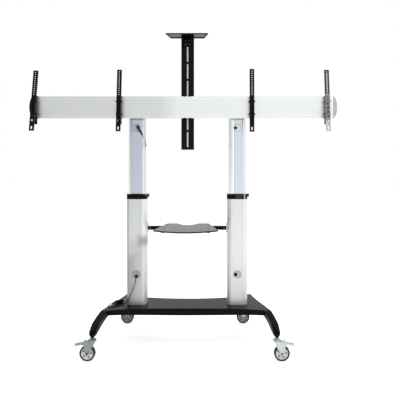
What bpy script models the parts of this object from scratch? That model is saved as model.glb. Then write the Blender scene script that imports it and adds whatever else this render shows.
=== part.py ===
# A rolling stand that carries two flat screens side by side on one cross beam,
# with a camera shelf on a mast above them and an equipment shelf between its two columns.
# Metres, +Z up. +X is the stand's right as seen from its front, and -Y is its front.
import math

import bmesh
import bpy
from mathutils import Matrix, Vector

# Clearance between pieces that touch, and between pieces that turn or slide in each other
GAP = 0.0003
RUN = 0.0004

# The columns stand this far right of the beam's middle, because the beam is clamped off centre
CART_X = 0.023

# Base: a bridge plate between two curved legs, folded from sheet and open below
BASE_TOP = 0.262
BASE_HEIGHT = 0.048
BASE_WALL = 0.004
BASE_EDGE_ROUND = 0.003
PLATE_FRONT = -0.132
PLATE_REAR = 0.112
PLATE_FRONT_BOW = 0.058
PLATE_FRONT_BOW_POWER = 3.6
PLATE_REAR_BOW = 0.075
PLATE_REAR_BOW_POWER = 2.0
PLATE_ARCH = 0.012
LEG_FRONT_X = 0.5876
LEG_REAR_X = 0.453
LEG_FRONT_PULL = 0.5635
LEG_REAR_PULL = 0.415
LEG_END_Y = 0.315
LEG_DROP_END_Y = 0.3485
LEG_DROP_POWER = 1.15
LEG_REAR_DROP_START = 0.235
LEG_WIDTH = 0.060
LEG_END_WIDTH = 0.048
FOOT_TOP = 0.2025

# Casters: each stem stands at the leg's end, and the wheel trails to one side of it
CASTER_Y = 0.359
CASTER_TRAIL = 0.031
WHEEL_RADIUS = 0.050
WHEEL_WIDTH = 0.030
TYRE_DEPTH = 0.0115
TYRE_SHOULDER = 0.004
HUB_DISH = 0.005
HUB_BOSS_RADIUS = 0.012
HUB_WIDTH_CUT = 0.002
AXLE_RADIUS = 0.005
AXLE_HEAD_RADIUS = 0.0085
AXLE_HEAD = 0.003
FORK_PLATE = 0.0025
FORK_SIDE_ROOM = 0.002
FORK_CROWN = 0.006
FORK_CROWN_OVER_WHEEL = 0.018
FORK_TAIL = 0.012
FORK_NOSE = 0.056
FORK_TIP_RADIUS = 0.0105
RACE_RADIUS = 0.026
RACE_NECK_RADIUS = 0.021
STEM_RADIUS = 0.007
STEM_LENGTH = 0.034
STEM_NECK = 0.005
FOOT_BOTTOM = 0.144
FOOT_NOSE = 0.027
FOOT_SPIGOT = 0.024
FOOT_SPIGOT_HEIGHT = 0.024
PEDAL_PIVOT_X = 0.045
PEDAL_PIVOT_Z = 0.1105
PEDAL_PIN_RADIUS = 0.0028
PEDAL_REACH = 0.112
PEDAL_THICKNESS = 0.009
PEDAL_HEEL = 0.007
PEDAL_FALL = 0.007

# Columns: an upper tube slides in a lower one, guided by a collar
COLUMN_SPREAD = 0.354
COLUMN_Y = 0.0075
CORNER_STEPS = 5
LOWER_WIDTH = 0.141
LOWER_DEPTH = 0.115
LOWER_RADIUS = 0.034
LOWER_WALL = 0.0035
LOWER_TOP = 1.0035
UPPER_WIDTH = 0.116
UPPER_DEPTH = 0.092
UPPER_RADIUS = 0.024
UPPER_WALL = 0.003
UPPER_BOTTOM = 0.820
UPPER_TOP = 1.700
FACE_GROOVE_WIDTH = 0.003
FACE_GROOVE_DEPTH = 0.0012
SIDE_GROOVE_WIDTH = 0.012
SIDE_GROOVE_DEPTH = 0.002
COLLAR_OVERHANG = 0.0025
COLLAR_HEIGHT = 0.033
COLLAR_ARCH = 0.004
COLLAR_SKIRT = 0.040
KNOB_RADIUS = 0.0145
KNOB_LENGTH = 0.009
KNOB_RISE = 0.0075
KNOB_LOBES = 6
KNOB_LOBE_DEPTH = 0.0016
KNOB_NECK = 0.002
STUD_RADIUS = 0.004

# Cable covers on the front of each tube
CAP_RADIUS = 0.0285
CAP_FLANGE = 0.0028
CAP_SPIGOT_RADIUS = 0.0253
CAP_SPIGOT = 0.008
CAP_HOLE_RADIUS = 0.0115
CAP_HOLE_OFFSET = 0.012
LOWER_CAP_Z = 0.477
UPPER_CAP_Z = 1.503
LOWER_LEFT_CAP_TURN = -90
LOWER_RIGHT_CAP_TURN = 180
UPPER_LEFT_CAP_TURN = 40
UPPER_RIGHT_CAP_TURN = 180

# Beam: one hollow extrusion on saddles in front of the upper tubes
BEAM_Z = 1.6417
BEAM_HEIGHT = 0.150
BEAM_DEPTH = 0.055
BEAM_HALF_LENGTH = 1.034
BEAM_WALL = 0.003
BEAM_FACE_GROOVE_Z = 0.044
BEAM_FACE_GROOVE_WIDTH = 0.004
BEAM_FACE_GROOVE_DEPTH = 0.0015
BEAM_HOOK_GROOVE_SET_BACK = 0.022
BEAM_HOOK_GROOVE_WIDTH = 0.005
BEAM_HOOK_GROOVE_DEPTH = 0.007
BEAM_CAP_BULGE = 0.0265
BEAM_CAP_FLANGE = 0.004
BEAM_CAP_PLUG = 0.020
SADDLE_THICKNESS = 0.012
SADDLE_HALF_WIDTH = 0.045
SADDLE_LID = 0.006
SADDLE_PLUG = 0.014

# Screen brackets: a hook hangs on the beam, and a drilled rail tilts on it
BRACKET_LEFT_SET_BACK = 0.016
BRACKET_RIGHT_SET_BACK = 0.048
BRACKET_X = (
    BRACKET_LEFT_SET_BACK - BEAM_HALF_LENGTH,
    -0.437,
    0.471,
    BEAM_HALF_LENGTH - BRACKET_RIGHT_SET_BACK,
)
BRACKET_TILT = (12.0, 7.5, 2.0, 8.0)
BRACKET_NAMES = ("outer_left", "inner_left", "inner_right", "outer_right")
RAIL_WIDTH = 0.031
RAIL_DEPTH = 0.013
RAIL_SHEET = 0.002
RAIL_TOP = 0.258
RAIL_BOTTOM = -0.172
RAIL_HOLE = 0.0035
RAIL_HOLE_PITCH = 0.0145
RAIL_HOLE_COUNT = 12
RAIL_HOLE_TOP = 0.243
RAIL_WINDOW = 0.010
RAIL_WINDOW_PITCH = 0.029
RAIL_WINDOW_COUNT = 5
RAIL_WINDOW_TOP = 0.018
RAIL_SLOT_LENGTH = 0.022
RAIL_SLOT_WIDTH = 0.009
RAIL_SLOT_Z = -0.150
HOOK_SHEET = 0.0025
HOOK_TIP = 0.005
HOOK_FOOT = -0.118
TILT_PIVOT_Z = 0.036
TILT_PIVOT_REACH = 0.034
TILT_PIN_RADIUS = 0.0035
TILT_HEAD_RADIUS = 0.0065
TILT_HEAD = 0.0035
TILT_LOCK_DROP = 0.086
TILT_LOCK_RADIUS = 0.003
TILT_SLOT_RADIUS = 0.0036
TILT_MAX = 15.0
EAR_MARGIN = 0.012
WING_MARGIN = 0.0065

# Camera mast behind the beam
MAST_X = 0.028
MAST_WIDTH = 0.089
MAST_DEPTH = 0.030
MAST_SHEET = 0.003
MAST_TOP = 2.1365
MAST_BOTTOM = 1.3496
MAST_SLOT_WIDTH = 0.0105
MAST_SLOT_LENGTH = 0.107
MAST_SLOT_PITCH = 0.1195
MAST_SLOT_FIRST = 0.063
MAST_SLOT_COUNT = 6
CLAMP_THICKNESS = 0.008
CLAMP_HALF_WIDTH = 0.040
CLAMP_FINGER_SPREAD = 0.020
CLAMP_FINGER_WIDTH = 0.009
CLAMP_FINGER_SHEET = 0.003
CLAMP_FINGER_TIP = 0.004
CLAMP_STUD_RADIUS = 0.0045
CLAMP_NUT_RADIUS = 0.014
CLAMP_NUT_LENGTH = 0.010

# Camera shelf on the mast's top
CAMERA_SHELF_FRONT_WIDTH = 0.287
CAMERA_SHELF_REAR_WIDTH = 0.233
CAMERA_SHELF_DEPTH = 0.115
CAMERA_SHELF_SHEET = 0.0025
CAMERA_SHELF_LIP = 0.006
GUSSET_SHEET = 0.003
GUSSET_SPREAD = 0.030
GUSSET_HEIGHT = 0.062
GUSSET_REACH = 0.100

# Equipment shelf between the columns
SHELF_TOP = 0.812
SHELF_SHEET = 0.003
SHELF_FRONT_LIP = 0.009
SHELF_FRONT_HALF = 0.216
SHELF_REAR_HALF = 0.150
SHELF_FRONT_Y = -0.228
SHELF_FRONT_BOW = 0.090
SHELF_REAR_Y = 0.126
SHELF_CUT_HALF = 0.077
SHELF_CUT_DEPTH = 0.098
CROSSBAR_HEIGHT = 0.026
CROSSBAR_DEPTH = 0.030
CROSSBAR_WALL = 0.0025
ARM_SPREAD = 0.151
ARM_WIDTH = 0.020
ARM_HEIGHT = 0.012
ARM_TIP_SET_BACK = 0.020
SHELF_CLAMP_HEIGHT = 0.066
SHELF_CLAMP_DEPTH = 0.044
SHELF_CLAMP_SHEET = 0.005
SHELF_CLAMP_KEY = 0.0015
SHELF_CLAMP_BOSS = 0.008

# Leads
POWER_CORD_RADIUS = 0.0025
SIGNAL_LEAD_RADIUS = 0.0030
PLUG_RADIUS = 0.0125
PLUG_RELIEF = 0.025
PLUG_BODY = 0.070
PLUG_PIN_LENGTH = 0.019
PLUG_PIN_RADIUS = 0.0024
PLUG_PIN_SPREAD = 0.0065
PLUG_HEADING = (0.667, 0.745, 0.0)
SIGNAL_PLUG_LENGTH = 0.020

# Route points of the power cord, from inside the cap's hole to the plug, measured from the middle
# of the cart; it turns back on the base, where its middle lies one radius and a gap above the top
CORD_LIE = BASE_TOP + GAP + POWER_CORD_RADIUS
PLUG_LIE = BASE_TOP + GAP + PLUG_RADIUS
POWER_CORD_ROUTE = (
    (-0.354, -0.041, LOWER_CAP_Z - 0.0075),
    (-0.354, -0.053, LOWER_CAP_Z - 0.012),
    (-0.3545, -0.065, LOWER_CAP_Z - 0.022),
    (-0.3565, -0.073, LOWER_CAP_Z - 0.038),
    (-0.3620, -0.077, 0.415),
    (-0.3730, -0.077, 0.383),
    (-0.3870, -0.073, 0.350),
    (-0.4020, -0.066, 0.318),
    (-0.4180, -0.058, 0.290),
    (-0.4370, -0.0525, CORD_LIE + 0.006),
    (-0.4580, -0.056, CORD_LIE),
    (-0.4780, -0.073, CORD_LIE),
    (-0.4940, -0.095, CORD_LIE),
    (-0.5110, -0.1110, CORD_LIE),
    (-0.5320, -0.1085, CORD_LIE),
    (-0.5455, -0.0925, CORD_LIE + 0.002),
)
PLUG_START = (-0.525, -0.048, PLUG_LIE)

# Sections of the signal lead's moulded lead-out, measured from its hole: place and radius
SIGNAL_BOOT_SECTIONS = (
    (0.000, -0.0080, 0.0000, 0.0058),
    (0.003, -0.0150, -0.0060, 0.0064),
    (0.011, -0.0220, -0.0190, 0.0070),
    (0.020, -0.0240, -0.0340, 0.0070),
    (0.029, -0.0240, -0.0480, 0.0066),
    (0.036, -0.0230, -0.0600, 0.0048),
)

# The signal lead's lower points, measured from the end of its moulded lead-out
SIGNAL_LEAD_DROPS = ((0.014, 0.0, -0.026), (0.018, 0.0005, -0.044), (0.020, 0.0005, -0.058))

BLACK_STEEL = "black_steel"
ALUMINIUM = "brushed_aluminium"
PLASTIC = "black_plastic"
ZINC = "zinc_plate"
RUBBER = "black_rubber"
CREAM = "cream_nylon"
GREY_CAP = "grey_plastic"
LEAD_GREY = "grey_cable"
LEAD_BLACK = "black_cable"

# Colour, roughness and metallic value of each finish
FINISHES = {
    BLACK_STEEL: ((0.012, 0.012, 0.013), 0.35, 0.3),
    ALUMINIUM: ((0.66, 0.68, 0.69), 0.34, 0.9),
    PLASTIC: ((0.015, 0.015, 0.016), 0.45, 0.0),
    ZINC: ((0.62, 0.66, 0.66), 0.30, 0.9),
    RUBBER: ((0.010, 0.010, 0.010), 0.70, 0.0),
    CREAM: ((0.72, 0.68, 0.62), 0.50, 0.0),
    GREY_CAP: ((0.42, 0.44, 0.45), 0.40, 0.2),
    LEAD_GREY: ((0.50, 0.52, 0.51), 0.55, 0.0),
    LEAD_BLACK: ((0.020, 0.020, 0.021), 0.50, 0.0),
}

X_AXIS = Vector((1, 0, 0))
Y_AXIS = Vector((0, 1, 0))
Z_AXIS = Vector((0, 0, 1))


# Scene and materials

def clear_scene():
    for old in list(bpy.data.objects):
        bpy.data.objects.remove(old, do_unlink=True)


def finish(name):
    material = bpy.data.materials.get(name)
    if material:
        return material
    colour, roughness, metallic = FINISHES[name]
    material = bpy.data.materials.new(name)
    material.use_nodes = True
    shader = material.node_tree.nodes["Principled BSDF"]
    shader.inputs["Base Color"].default_value = (*colour, 1.0)
    shader.inputs["Roughness"].default_value = roughness
    shader.inputs["Metallic"].default_value = metallic
    return material


# Shapes

def make_object(name, mesh_data, material):
    mesh = bpy.data.meshes.new(name)
    bmesh.ops.remove_doubles(mesh_data, verts=mesh_data.verts, dist=1e-6)
    bmesh.ops.recalc_face_normals(mesh_data, faces=mesh_data.faces)
    mesh_data.to_mesh(mesh)
    mesh_data.free()
    mesh.shade_smooth()
    mesh.set_sharp_from_angle(angle=math.radians(32))
    mesh.materials.append(finish(material))
    piece = bpy.data.objects.new(name, mesh)
    bpy.context.scene.collection.objects.link(piece)
    return piece


def hide_tool(tool):
    tool.hide_render = True
    tool.display_type = 'WIRE'
    return tool


def combine(piece, tool, operation):
    hide_tool(tool)
    step = piece.modifiers.new(tool.name, 'BOOLEAN')
    step.operation = operation
    step.object = tool
    step.solver = 'EXACT'
    return piece


def cut(piece, *tools):
    for tool in tools:
        combine(piece, tool, 'DIFFERENCE')
    return piece


def join(piece, *tools):
    for tool in tools:
        combine(piece, tool, 'UNION')
    return piece


def set_origin(piece, point):
    point = Vector(point)
    piece.data.transform(Matrix.Translation(-point))
    piece.location = point
    return piece


def place(axis, u, v, w):
    if axis == 'X':
        return Vector((w, u, v))
    if axis == 'Y':
        return Vector((u, w, v))
    return Vector((u, v, w))


def extrude(name, outline, span, axis, material, holes=()):
    """A flat outline, with holes in it, drawn across one axis and pushed along it."""
    shape = bmesh.new()
    edges = []
    for loop in (outline, *holes):
        verts = [shape.verts.new(place(axis, u, v, span[0])) for u, v in loop]
        edges += [shape.edges.new((a, b)) for a, b in zip(verts, verts[1:] + verts[:1])]
    bmesh.ops.triangle_fill(shape, use_beauty=True, edges=edges)
    pushed = bmesh.ops.extrude_face_region(shape, geom=list(shape.faces))
    moved = [part for part in pushed["geom"] if isinstance(part, bmesh.types.BMVert)]
    bmesh.ops.translate(shape, verts=moved, vec=place(axis, 0, 0, span[1] - span[0]))
    return make_object(name, shape, material)


def loft(name, rings, material, closed=False):
    """Rings of as many points each, skinned in order; closed joins the last to the first."""
    shape = bmesh.new()
    rows = [[shape.verts.new(point) for point in ring] for ring in rings]
    pairs = list(zip(rows, rows[1:]))
    if closed:
        pairs.append((rows[-1], rows[0]))
    for near, far in pairs:
        count = len(near)
        for i in range(count):
            j = (i + 1) % count
            shape.faces.new((near[i], near[j], far[j], far[i]))
    if not closed:
        shape.faces.new(rows[0])
        shape.faces.new(rows[-1])
    return make_object(name, shape, material)


def turned(name, profile, centre, axis, steps, material, closed=False):
    """A profile of (radius, height) points turned about an axis through the centre."""
    centre = Vector(centre)
    side = Vector((0, 0, 1)) if axis != Z_AXIS else Vector((1, 0, 0))
    across = axis.cross(side)
    rings = []
    for radius, height in profile:
        ring = []
        for k in range(steps):
            turn = 2 * math.pi * k / steps
            reach = side * math.cos(turn) + across * math.sin(turn)
            ring.append(centre + axis * height + reach * radius)
        rings.append(ring)
    return loft(name, rings, material, closed)


def box(name, x, y, z, material):
    corners = [(x[0], y[0]), (x[1], y[0]), (x[1], y[1]), (x[0], y[1])]
    return extrude(name, corners, z, 'Z', material)


def rod(name, centre, axis, span, radius, material, steps=16):
    return turned(name, [(radius, span[0]), (radius, span[1])], centre, axis, steps, material)


def arc(centre, radius, start, end, steps):
    """Points of an arc in degrees, both ends included."""
    points = []
    for k in range(steps + 1):
        turn = math.radians(start + (end - start) * k / steps)
        points.append((centre[0] + radius * math.cos(turn), centre[1] + radius * math.sin(turn)))
    return points


def round_hole(centre, radius, steps):
    return arc(centre, radius, 0, 360 - 360 / steps, steps - 1)


def square_hole(centre, side):
    half = side / 2
    return [(centre[0] + a * half, centre[1] + b * half) for a, b in ((-1, -1), (1, -1), (1, 1), (-1, 1))]


def upright_slot(centre, length, width, steps=5):
    """A slot with round ends, its length along the second coordinate."""
    radius = width / 2
    reach = length / 2 - radius
    top = arc((centre[0], centre[1] + reach), radius, 0, 180, steps)
    return top + arc((centre[0], centre[1] - reach), radius, 180, 360, steps)


def mix(a, b, share):
    return a + (b - a) * share


def ease(share):
    share = min(max(share, 0.0), 1.0)
    return share * share * (3 - 2 * share)


# Base frame and its feet

def leg_mid(y):
    """Distance of a leg's centre line from the cart's middle: an S-shaped sweep, wider in front."""
    u = (CASTER_Y - y) / (2 * CASTER_Y)
    v = 1 - u
    rear = v ** 3 * LEG_REAR_X + 3 * v * v * u * LEG_REAR_PULL
    return rear + 3 * v * u * u * LEG_FRONT_PULL + u ** 3 * LEG_FRONT_X


def leg_half(y):
    return mix(LEG_END_WIDTH, LEG_WIDTH, ease((LEG_END_Y - abs(y)) / LEG_END_Y)) / 2


def plate_front(x):
    return PLATE_FRONT - PLATE_FRONT_BOW * (abs(x) / LEG_FRONT_X) ** PLATE_FRONT_BOW_POWER


def plate_rear(x):
    return PLATE_REAR + PLATE_REAR_BOW * (abs(x) / LEG_REAR_X) ** PLATE_REAR_BOW_POWER


def leg_corner(edge, inset):
    """Where the leg's inner side meets the plate's front or rear edge."""
    y = edge(LEG_REAR_X)
    step = inset if edge is plate_front else -inset
    for _ in range(30):
        y = edge(leg_mid(y) - leg_half(y) + inset) + step
    return y


def leg_share(y):
    """0 where the legs lie level with the plate, 1 where they have come down to the feet."""
    start = abs(leg_corner(plate_front, 0)) if y < 0 else LEG_REAR_DROP_START
    run = (abs(y) - start) / (LEG_DROP_END_Y - start)
    return min(max(run, 0.0), 1.0) ** LEG_DROP_POWER


def leg_top(y):
    return BASE_TOP - (BASE_TOP - FOOT_TOP) * leg_share(y)


def leg_height(y):
    return BASE_HEIGHT - PLATE_ARCH * (1 - leg_share(y))


def base_solid(name, inset, depth_below, end_extra):
    """The base's outline, drawn in by an inset, as a slab that follows the legs down."""
    front = leg_corner(plate_front, inset)
    rear = leg_corner(plate_rear, inset)
    end = LEG_END_Y + end_extra
    rear_rows = [mix(end, rear, k / 6) for k in range(6)]
    plate_rows = [mix(rear, front, k / 4) for k in range(4)]
    front_rows = [mix(front, -end, k / 7) for k in range(8)]
    rows = rear_rows + plate_rows + front_rows
    first_plate = len(rear_rows)
    last_plate = first_plate + len(plate_rows)
    columns = 16
    shape = bmesh.new()
    tops = {}
    bottoms = {}

    def add_point(key, x, y, height):
        top = leg_top(y)
        tops[key] = shape.verts.new((CART_X + x, y, top - inset))
        bottoms[key] = shape.verts.new((CART_X + x, y, top - height - depth_below))

    cells = []
    for i, y in enumerate(rows):
        inner = leg_mid(y) - leg_half(y) + inset
        outer = leg_mid(y) + leg_half(y) - inset
        add_point(("left", i), -outer, y, leg_height(y))
        add_point(("right", i), outer, y, leg_height(y))
        is_plate = first_plate <= i <= last_plate
        share = (i - first_plate) / (last_plate - first_plate)
        for k in range(columns + 1) if is_plate else (0, columns):
            x = mix(-inner, inner, k / columns)
            along = mix(plate_rear(x) - inset, plate_front(x) + inset, share) if is_plate else y
            height = BASE_HEIGHT - PLATE_ARCH * (x / inner) ** 2 if is_plate else leg_height(y)
            add_point(("plate", i, k), x, along, height)
        if i == 0:
            continue
        for side, k in (("left", 0), ("right", columns)):
            cells.append(((side, i - 1), (side, i), ("plate", i, k), ("plate", i - 1, k)))
        if is_plate and i > first_plate:
            for k in range(columns):
                near = (("plate", i - 1, k), ("plate", i, k))
                cells.append((*near, ("plate", i, k + 1), ("plate", i - 1, k + 1)))
    uses = {}
    for cell in cells:
        shape.faces.new([tops[key] for key in cell])
        shape.faces.new([bottoms[key] for key in reversed(cell)])
        for a, b in zip(cell, cell[1:] + cell[:1]):
            uses.setdefault(frozenset((a, b)), []).append((a, b))
    for used in uses.values():
        if len(used) == 1:
            a, b = used[0]
            shape.faces.new((tops[a], tops[b], bottoms[b], bottoms[a]))
    return make_object(name, shape, BLACK_STEEL)


def round_edges(piece, width, segments, angle):
    edge = piece.modifiers.new("edges", 'BEVEL')
    edge.width = width
    edge.segments = segments
    edge.limit_method = 'ANGLE'
    edge.angle_limit = math.radians(angle)
    return piece


def build_base():
    base = base_solid("base_frame", 0, 0, 0)
    round_edges(base, BASE_EDGE_ROUND, 1, 60)
    hollow = base_solid("base_hollow", BASE_WALL, BASE_HEIGHT, BASE_WALL)
    return cut(base, hollow)


def build_foot(name, side, end):
    """side is -1 left or 1 right, end is -1 front or 1 rear."""
    start = LEG_END_Y + GAP
    nose = CASTER_Y + FOOT_NOSE
    half = LEG_END_WIDTH / 2
    low = FOOT_BOTTOM
    leg_low = leg_top(end * start) - leg_height(end * start)
    neck = mix(start, CASTER_Y, 0.45)
    stations = (
        (start, half, leg_top(end * start), leg_low, 0.35, 0.0),
        (neck, half, leg_top(end * neck), mix(leg_low, low, 0.7), 0.5, 0.4),
        (CASTER_Y - STEM_RADIUS, half, FOOT_TOP - 0.001, low, 0.75, 0.9),
        (CASTER_Y + STEM_RADIUS, 0.88 * half, FOOT_TOP - 0.005, low, 0.9, 1.0),
        (mix(CASTER_Y, nose, 0.72), 0.62 * half, FOOT_TOP - 0.012, low + 0.007, 1.0, 1.0),
        (nose, 0.20 * half, FOOT_TOP - 0.022, low + 0.019, 1.0, 1.0),
    )
    rings = []
    for reach, wide, top, bottom, power, narrow in stations:
        mid_x = CART_X + side * leg_mid(end * min(reach, CASTER_Y))
        mid_z = (top + bottom) / 2
        tall = (top - bottom) / 2
        ring = []
        for k in range(16):
            turn = 2 * math.pi * (k + 0.5) / 16
            c = math.cos(turn)
            s = math.sin(turn)
            pinch = 1 - 0.45 * narrow * max(0.0, -s)
            x = mid_x + wide * pinch * math.copysign(abs(c) ** power, c)
            z = mid_z + tall * math.copysign(abs(s) ** power, s) / math.sin(math.pi * 7.5 / 16) ** power
            ring.append((x, end * reach, z))
        rings.append(ring)
    foot = loft(name, rings, PLASTIC)
    high = leg_top(end * LEG_END_Y) - BASE_WALL - RUN
    spigot_rings = []
    for reach in (LEG_END_Y - FOOT_SPIGOT, LEG_END_Y + BASE_WALL):
        mid_x = CART_X + side * leg_mid(end * reach)
        room = leg_half(end * reach) - BASE_WALL - RUN
        corners = ((-room, 0), (room, 0), (room, FOOT_SPIGOT_HEIGHT), (-room, FOOT_SPIGOT_HEIGHT))
        spigot_rings.append([(mid_x + x, end * reach, high - z) for x, z in corners])
    spigot = loft(name + "_spigot", spigot_rings, PLASTIC)
    join(foot, spigot)
    centre = (CART_X + side * leg_mid(end * CASTER_Y), end * CASTER_Y, 0)
    bore_span = (low - 0.02, low + STEM_LENGTH + GAP)
    bore = rod(name + "_bore", centre, Z_AXIS, bore_span, STEM_RADIUS + RUN, PLASTIC)
    return cut(foot, bore)


# Casters

def fork_plate_outline(trail):
    crown_top = 2 * WHEEL_RADIUS + FORK_CROWN_OVER_WHEEL + FORK_CROWN
    skirt = crown_top - 2 * FORK_CROWN
    tip = arc((CASTER_TRAIL, WHEEL_RADIUS), FORK_TIP_RADIUS, 205, 335, 6)
    points = [(-FORK_TAIL, crown_top), (-FORK_TAIL, skirt), *tip, (FORK_NOSE, skirt), (FORK_NOSE, crown_top)]
    return [(trail * u, v) for u, v in points]


def build_fork(name, stem_x, stem_y, trail, has_brake):
    crown_bottom = 2 * WHEEL_RADIUS + FORK_CROWN_OVER_WHEEL
    crown_top = crown_bottom + FORK_CROWN
    race_top = FOOT_BOTTOM - STEM_NECK
    inner = WHEEL_WIDTH / 2 + FORK_SIDE_ROOM
    outer = inner + FORK_PLATE
    along = sorted((stem_x - trail * FORK_TAIL, stem_x + trail * FORK_NOSE))
    fork = box(name, along, (stem_y - outer, stem_y + outer), (crown_bottom, crown_top), ZINC)
    outline = [(stem_x + u, v) for u, v in fork_plate_outline(trail)]
    plates = []
    for near, far in ((-outer, -inner), (inner, outer)):
        span = (stem_y + near, stem_y + far)
        plates.append(extrude(f"{name}_plate_{len(plates)}", outline, span, 'Y', ZINC))
    race_profile = [
        (STEM_RADIUS, FOOT_BOTTOM + STEM_LENGTH),
        (STEM_RADIUS, race_top),
        (RACE_RADIUS - 0.003, race_top),
        (RACE_RADIUS, race_top - 0.003),
        (RACE_RADIUS, race_top - 0.007),
        (RACE_NECK_RADIUS, race_top - 0.009),
        (RACE_NECK_RADIUS, crown_bottom + FORK_CROWN / 2),
    ]
    race = turned(name + "_race", race_profile, (stem_x, stem_y, 0), Z_AXIS, 20, ZINC)
    wheel_x = stem_x + trail * CASTER_TRAIL
    bite = FORK_PLATE / 2
    axle_profile = [
        (AXLE_HEAD_RADIUS, -outer - AXLE_HEAD),
        (AXLE_HEAD_RADIUS, -outer + bite),
        (AXLE_RADIUS, -outer + bite),
        (AXLE_RADIUS, outer - bite),
        (AXLE_HEAD_RADIUS, outer - bite),
        (AXLE_HEAD_RADIUS, outer + AXLE_HEAD),
    ]
    axle = turned(name + "_axle", axle_profile, (wheel_x, stem_y, WHEEL_RADIUS), Y_AXIS, 16, ZINC)
    join(fork, *plates, race, axle)
    if has_brake:
        pivot = (stem_x + trail * PEDAL_PIVOT_X, stem_y, PEDAL_PIVOT_Z)
        hole = rod(name + "_hole", pivot, Y_AXIS, (-2 * outer, 2 * outer), PEDAL_PIN_RADIUS + RUN, ZINC, 12)
        cut(fork, hole)
    return set_origin(fork, (stem_x, stem_y, 0))


def build_tyre(name, centre):
    inner = WHEEL_RADIUS - TYRE_DEPTH
    half = WHEEL_WIDTH / 2
    profile = [
        (inner, -half),
        (WHEEL_RADIUS - TYRE_SHOULDER, -half),
        (WHEEL_RADIUS, -half + TYRE_SHOULDER),
        (WHEEL_RADIUS, half - TYRE_SHOULDER),
        (WHEEL_RADIUS - TYRE_SHOULDER, half),
        (inner, half),
    ]
    tyre = turned(name, profile, centre, Y_AXIS, 28, RUBBER, closed=True)
    return set_origin(tyre, centre)


def build_hub(name, centre):
    outer = WHEEL_RADIUS - TYRE_DEPTH - GAP
    rim = WHEEL_WIDTH / 2 - HUB_WIDTH_CUT
    web = rim - HUB_DISH
    boss = WHEEL_WIDTH / 2 + FORK_SIDE_ROOM - GAP
    half_profile = [
        (AXLE_RADIUS + RUN, boss),
        (HUB_BOSS_RADIUS, boss),
        (HUB_BOSS_RADIUS + 0.002, web),
        (outer - 0.006, web),
        (outer - 0.003, rim),
        (outer, rim),
    ]
    profile = half_profile + [(radius, -height) for radius, height in reversed(half_profile)]
    hub = turned(name, profile, centre, Y_AXIS, 20, CREAM, closed=True)
    return set_origin(hub, centre)


def build_pedal(name, stem_x, stem_y, trail):
    half = PEDAL_THICKNESS / 2
    tip_x = PEDAL_REACH - half
    tip_z = PEDAL_PIVOT_Z - PEDAL_FALL
    heel = arc((PEDAL_PIVOT_X, PEDAL_PIVOT_Z), PEDAL_HEEL, 60, 270, 6)
    toe = arc((tip_x, tip_z), half, -90, 70, 4)
    knee = [(mix(PEDAL_PIVOT_X, tip_x, 0.35), PEDAL_PIVOT_Z - PEDAL_HEEL * 0.8)]
    outline = [(stem_x + trail * u, v) for u, v in heel + knee + toe]
    width = WHEEL_WIDTH / 2 + FORK_SIDE_ROOM - GAP
    pedal = extrude(name, outline, (stem_y - width, stem_y + width), 'Y', ZINC)
    pivot = (stem_x + trail * PEDAL_PIVOT_X, stem_y, PEDAL_PIVOT_Z)
    reach = WHEEL_WIDTH / 2 + FORK_SIDE_ROOM + FORK_PLATE
    pin = rod(name + "_pin", pivot, Y_AXIS, (-reach, reach), PEDAL_PIN_RADIUS, ZINC, 12)
    join(pedal, pin)
    return set_origin(pedal, pivot)


def build_casters():
    """Front wheels trail outwards, and both rear wheels trail to the left, as the stand was left."""
    places = (
        ("front_left", -1, -1, -1),
        ("front_right", 1, -1, 1),
        ("rear_left", -1, 1, -1),
        ("rear_right", 1, 1, -1),
    )
    for label, side, end, trail in places:
        stem_x = CART_X + side * leg_mid(end * CASTER_Y)
        stem_y = end * CASTER_Y
        is_front = end < 0
        build_foot(f"leg_foot_{label}", side, end)
        build_fork(f"caster_fork_{label}", stem_x, stem_y, trail, is_front)
        centre = (stem_x + trail * CASTER_TRAIL, stem_y, WHEEL_RADIUS)
        build_tyre(f"caster_tyre_{label}", centre)
        build_hub(f"caster_hub_{label}", centre)
        if is_front:
            build_pedal(f"brake_pedal_{label.split('_')[1]}", stem_x, stem_y, trail)


# Columns

def corner_points(width, depth, radius, steps, face_points=0):
    """A rectangle with round corners; face_points adds points along its front and rear."""
    x = width / 2 - radius
    y = depth / 2 - radius
    shares = [(k + 1) / (face_points + 1) for k in range(face_points)]
    points = [(mix(-x, x, share), -depth / 2) for share in shares]
    points += arc((x, -y), radius, -90, 0, steps)
    points += arc((x, y), radius, 0, 90, steps)
    points += [(mix(x, -x, share), depth / 2) for share in shares]
    points += arc((-x, y), radius, 90, 180, steps)
    points += arc((-x, -y), radius, 180, 270, steps)
    return points


def grooved_points(width, depth, radius, steps, side_groove):
    """The same outline with two long grooves on its front and rear, and one on each side."""
    x = width / 2 - radius
    y = depth / 2 - radius
    near = x - 2 * FACE_GROOVE_WIDTH
    half = FACE_GROOVE_WIDTH / 2

    def face(sign):
        points = []
        for centre in (-near, near):
            for u, v in ((-half, 0), (-half, FACE_GROOVE_DEPTH), (half, FACE_GROOVE_DEPTH), (half, 0)):
                points.append((-sign * (centre + u), sign * (depth / 2 - v)))
        return points

    def flank(sign):
        if not side_groove:
            return []
        wide = SIDE_GROOVE_WIDTH / 2
        deep = width / 2 - SIDE_GROOVE_DEPTH
        steps_in = ((width / 2, -wide), (deep, -wide), (deep, wide), (width / 2, wide))
        return [(sign * u, sign * v) for u, v in steps_in]

    points = face(-1) + arc((x, -y), radius, -90, 0, steps)
    points += flank(1) + arc((x, y), radius, 0, 90, steps)
    points += face(1) + arc((-x, y), radius, 90, 180, steps)
    return points + flank(-1) + arc((-x, -y), radius, 180, 270, steps)


def lower_section(grow, *flats):
    """The lower tube's section with every side moved out by grow."""
    return corner_points(LOWER_WIDTH + 2 * grow, LOWER_DEPTH + 2 * grow, LOWER_RADIUS + grow,
                         CORNER_STEPS, *flats)


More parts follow.
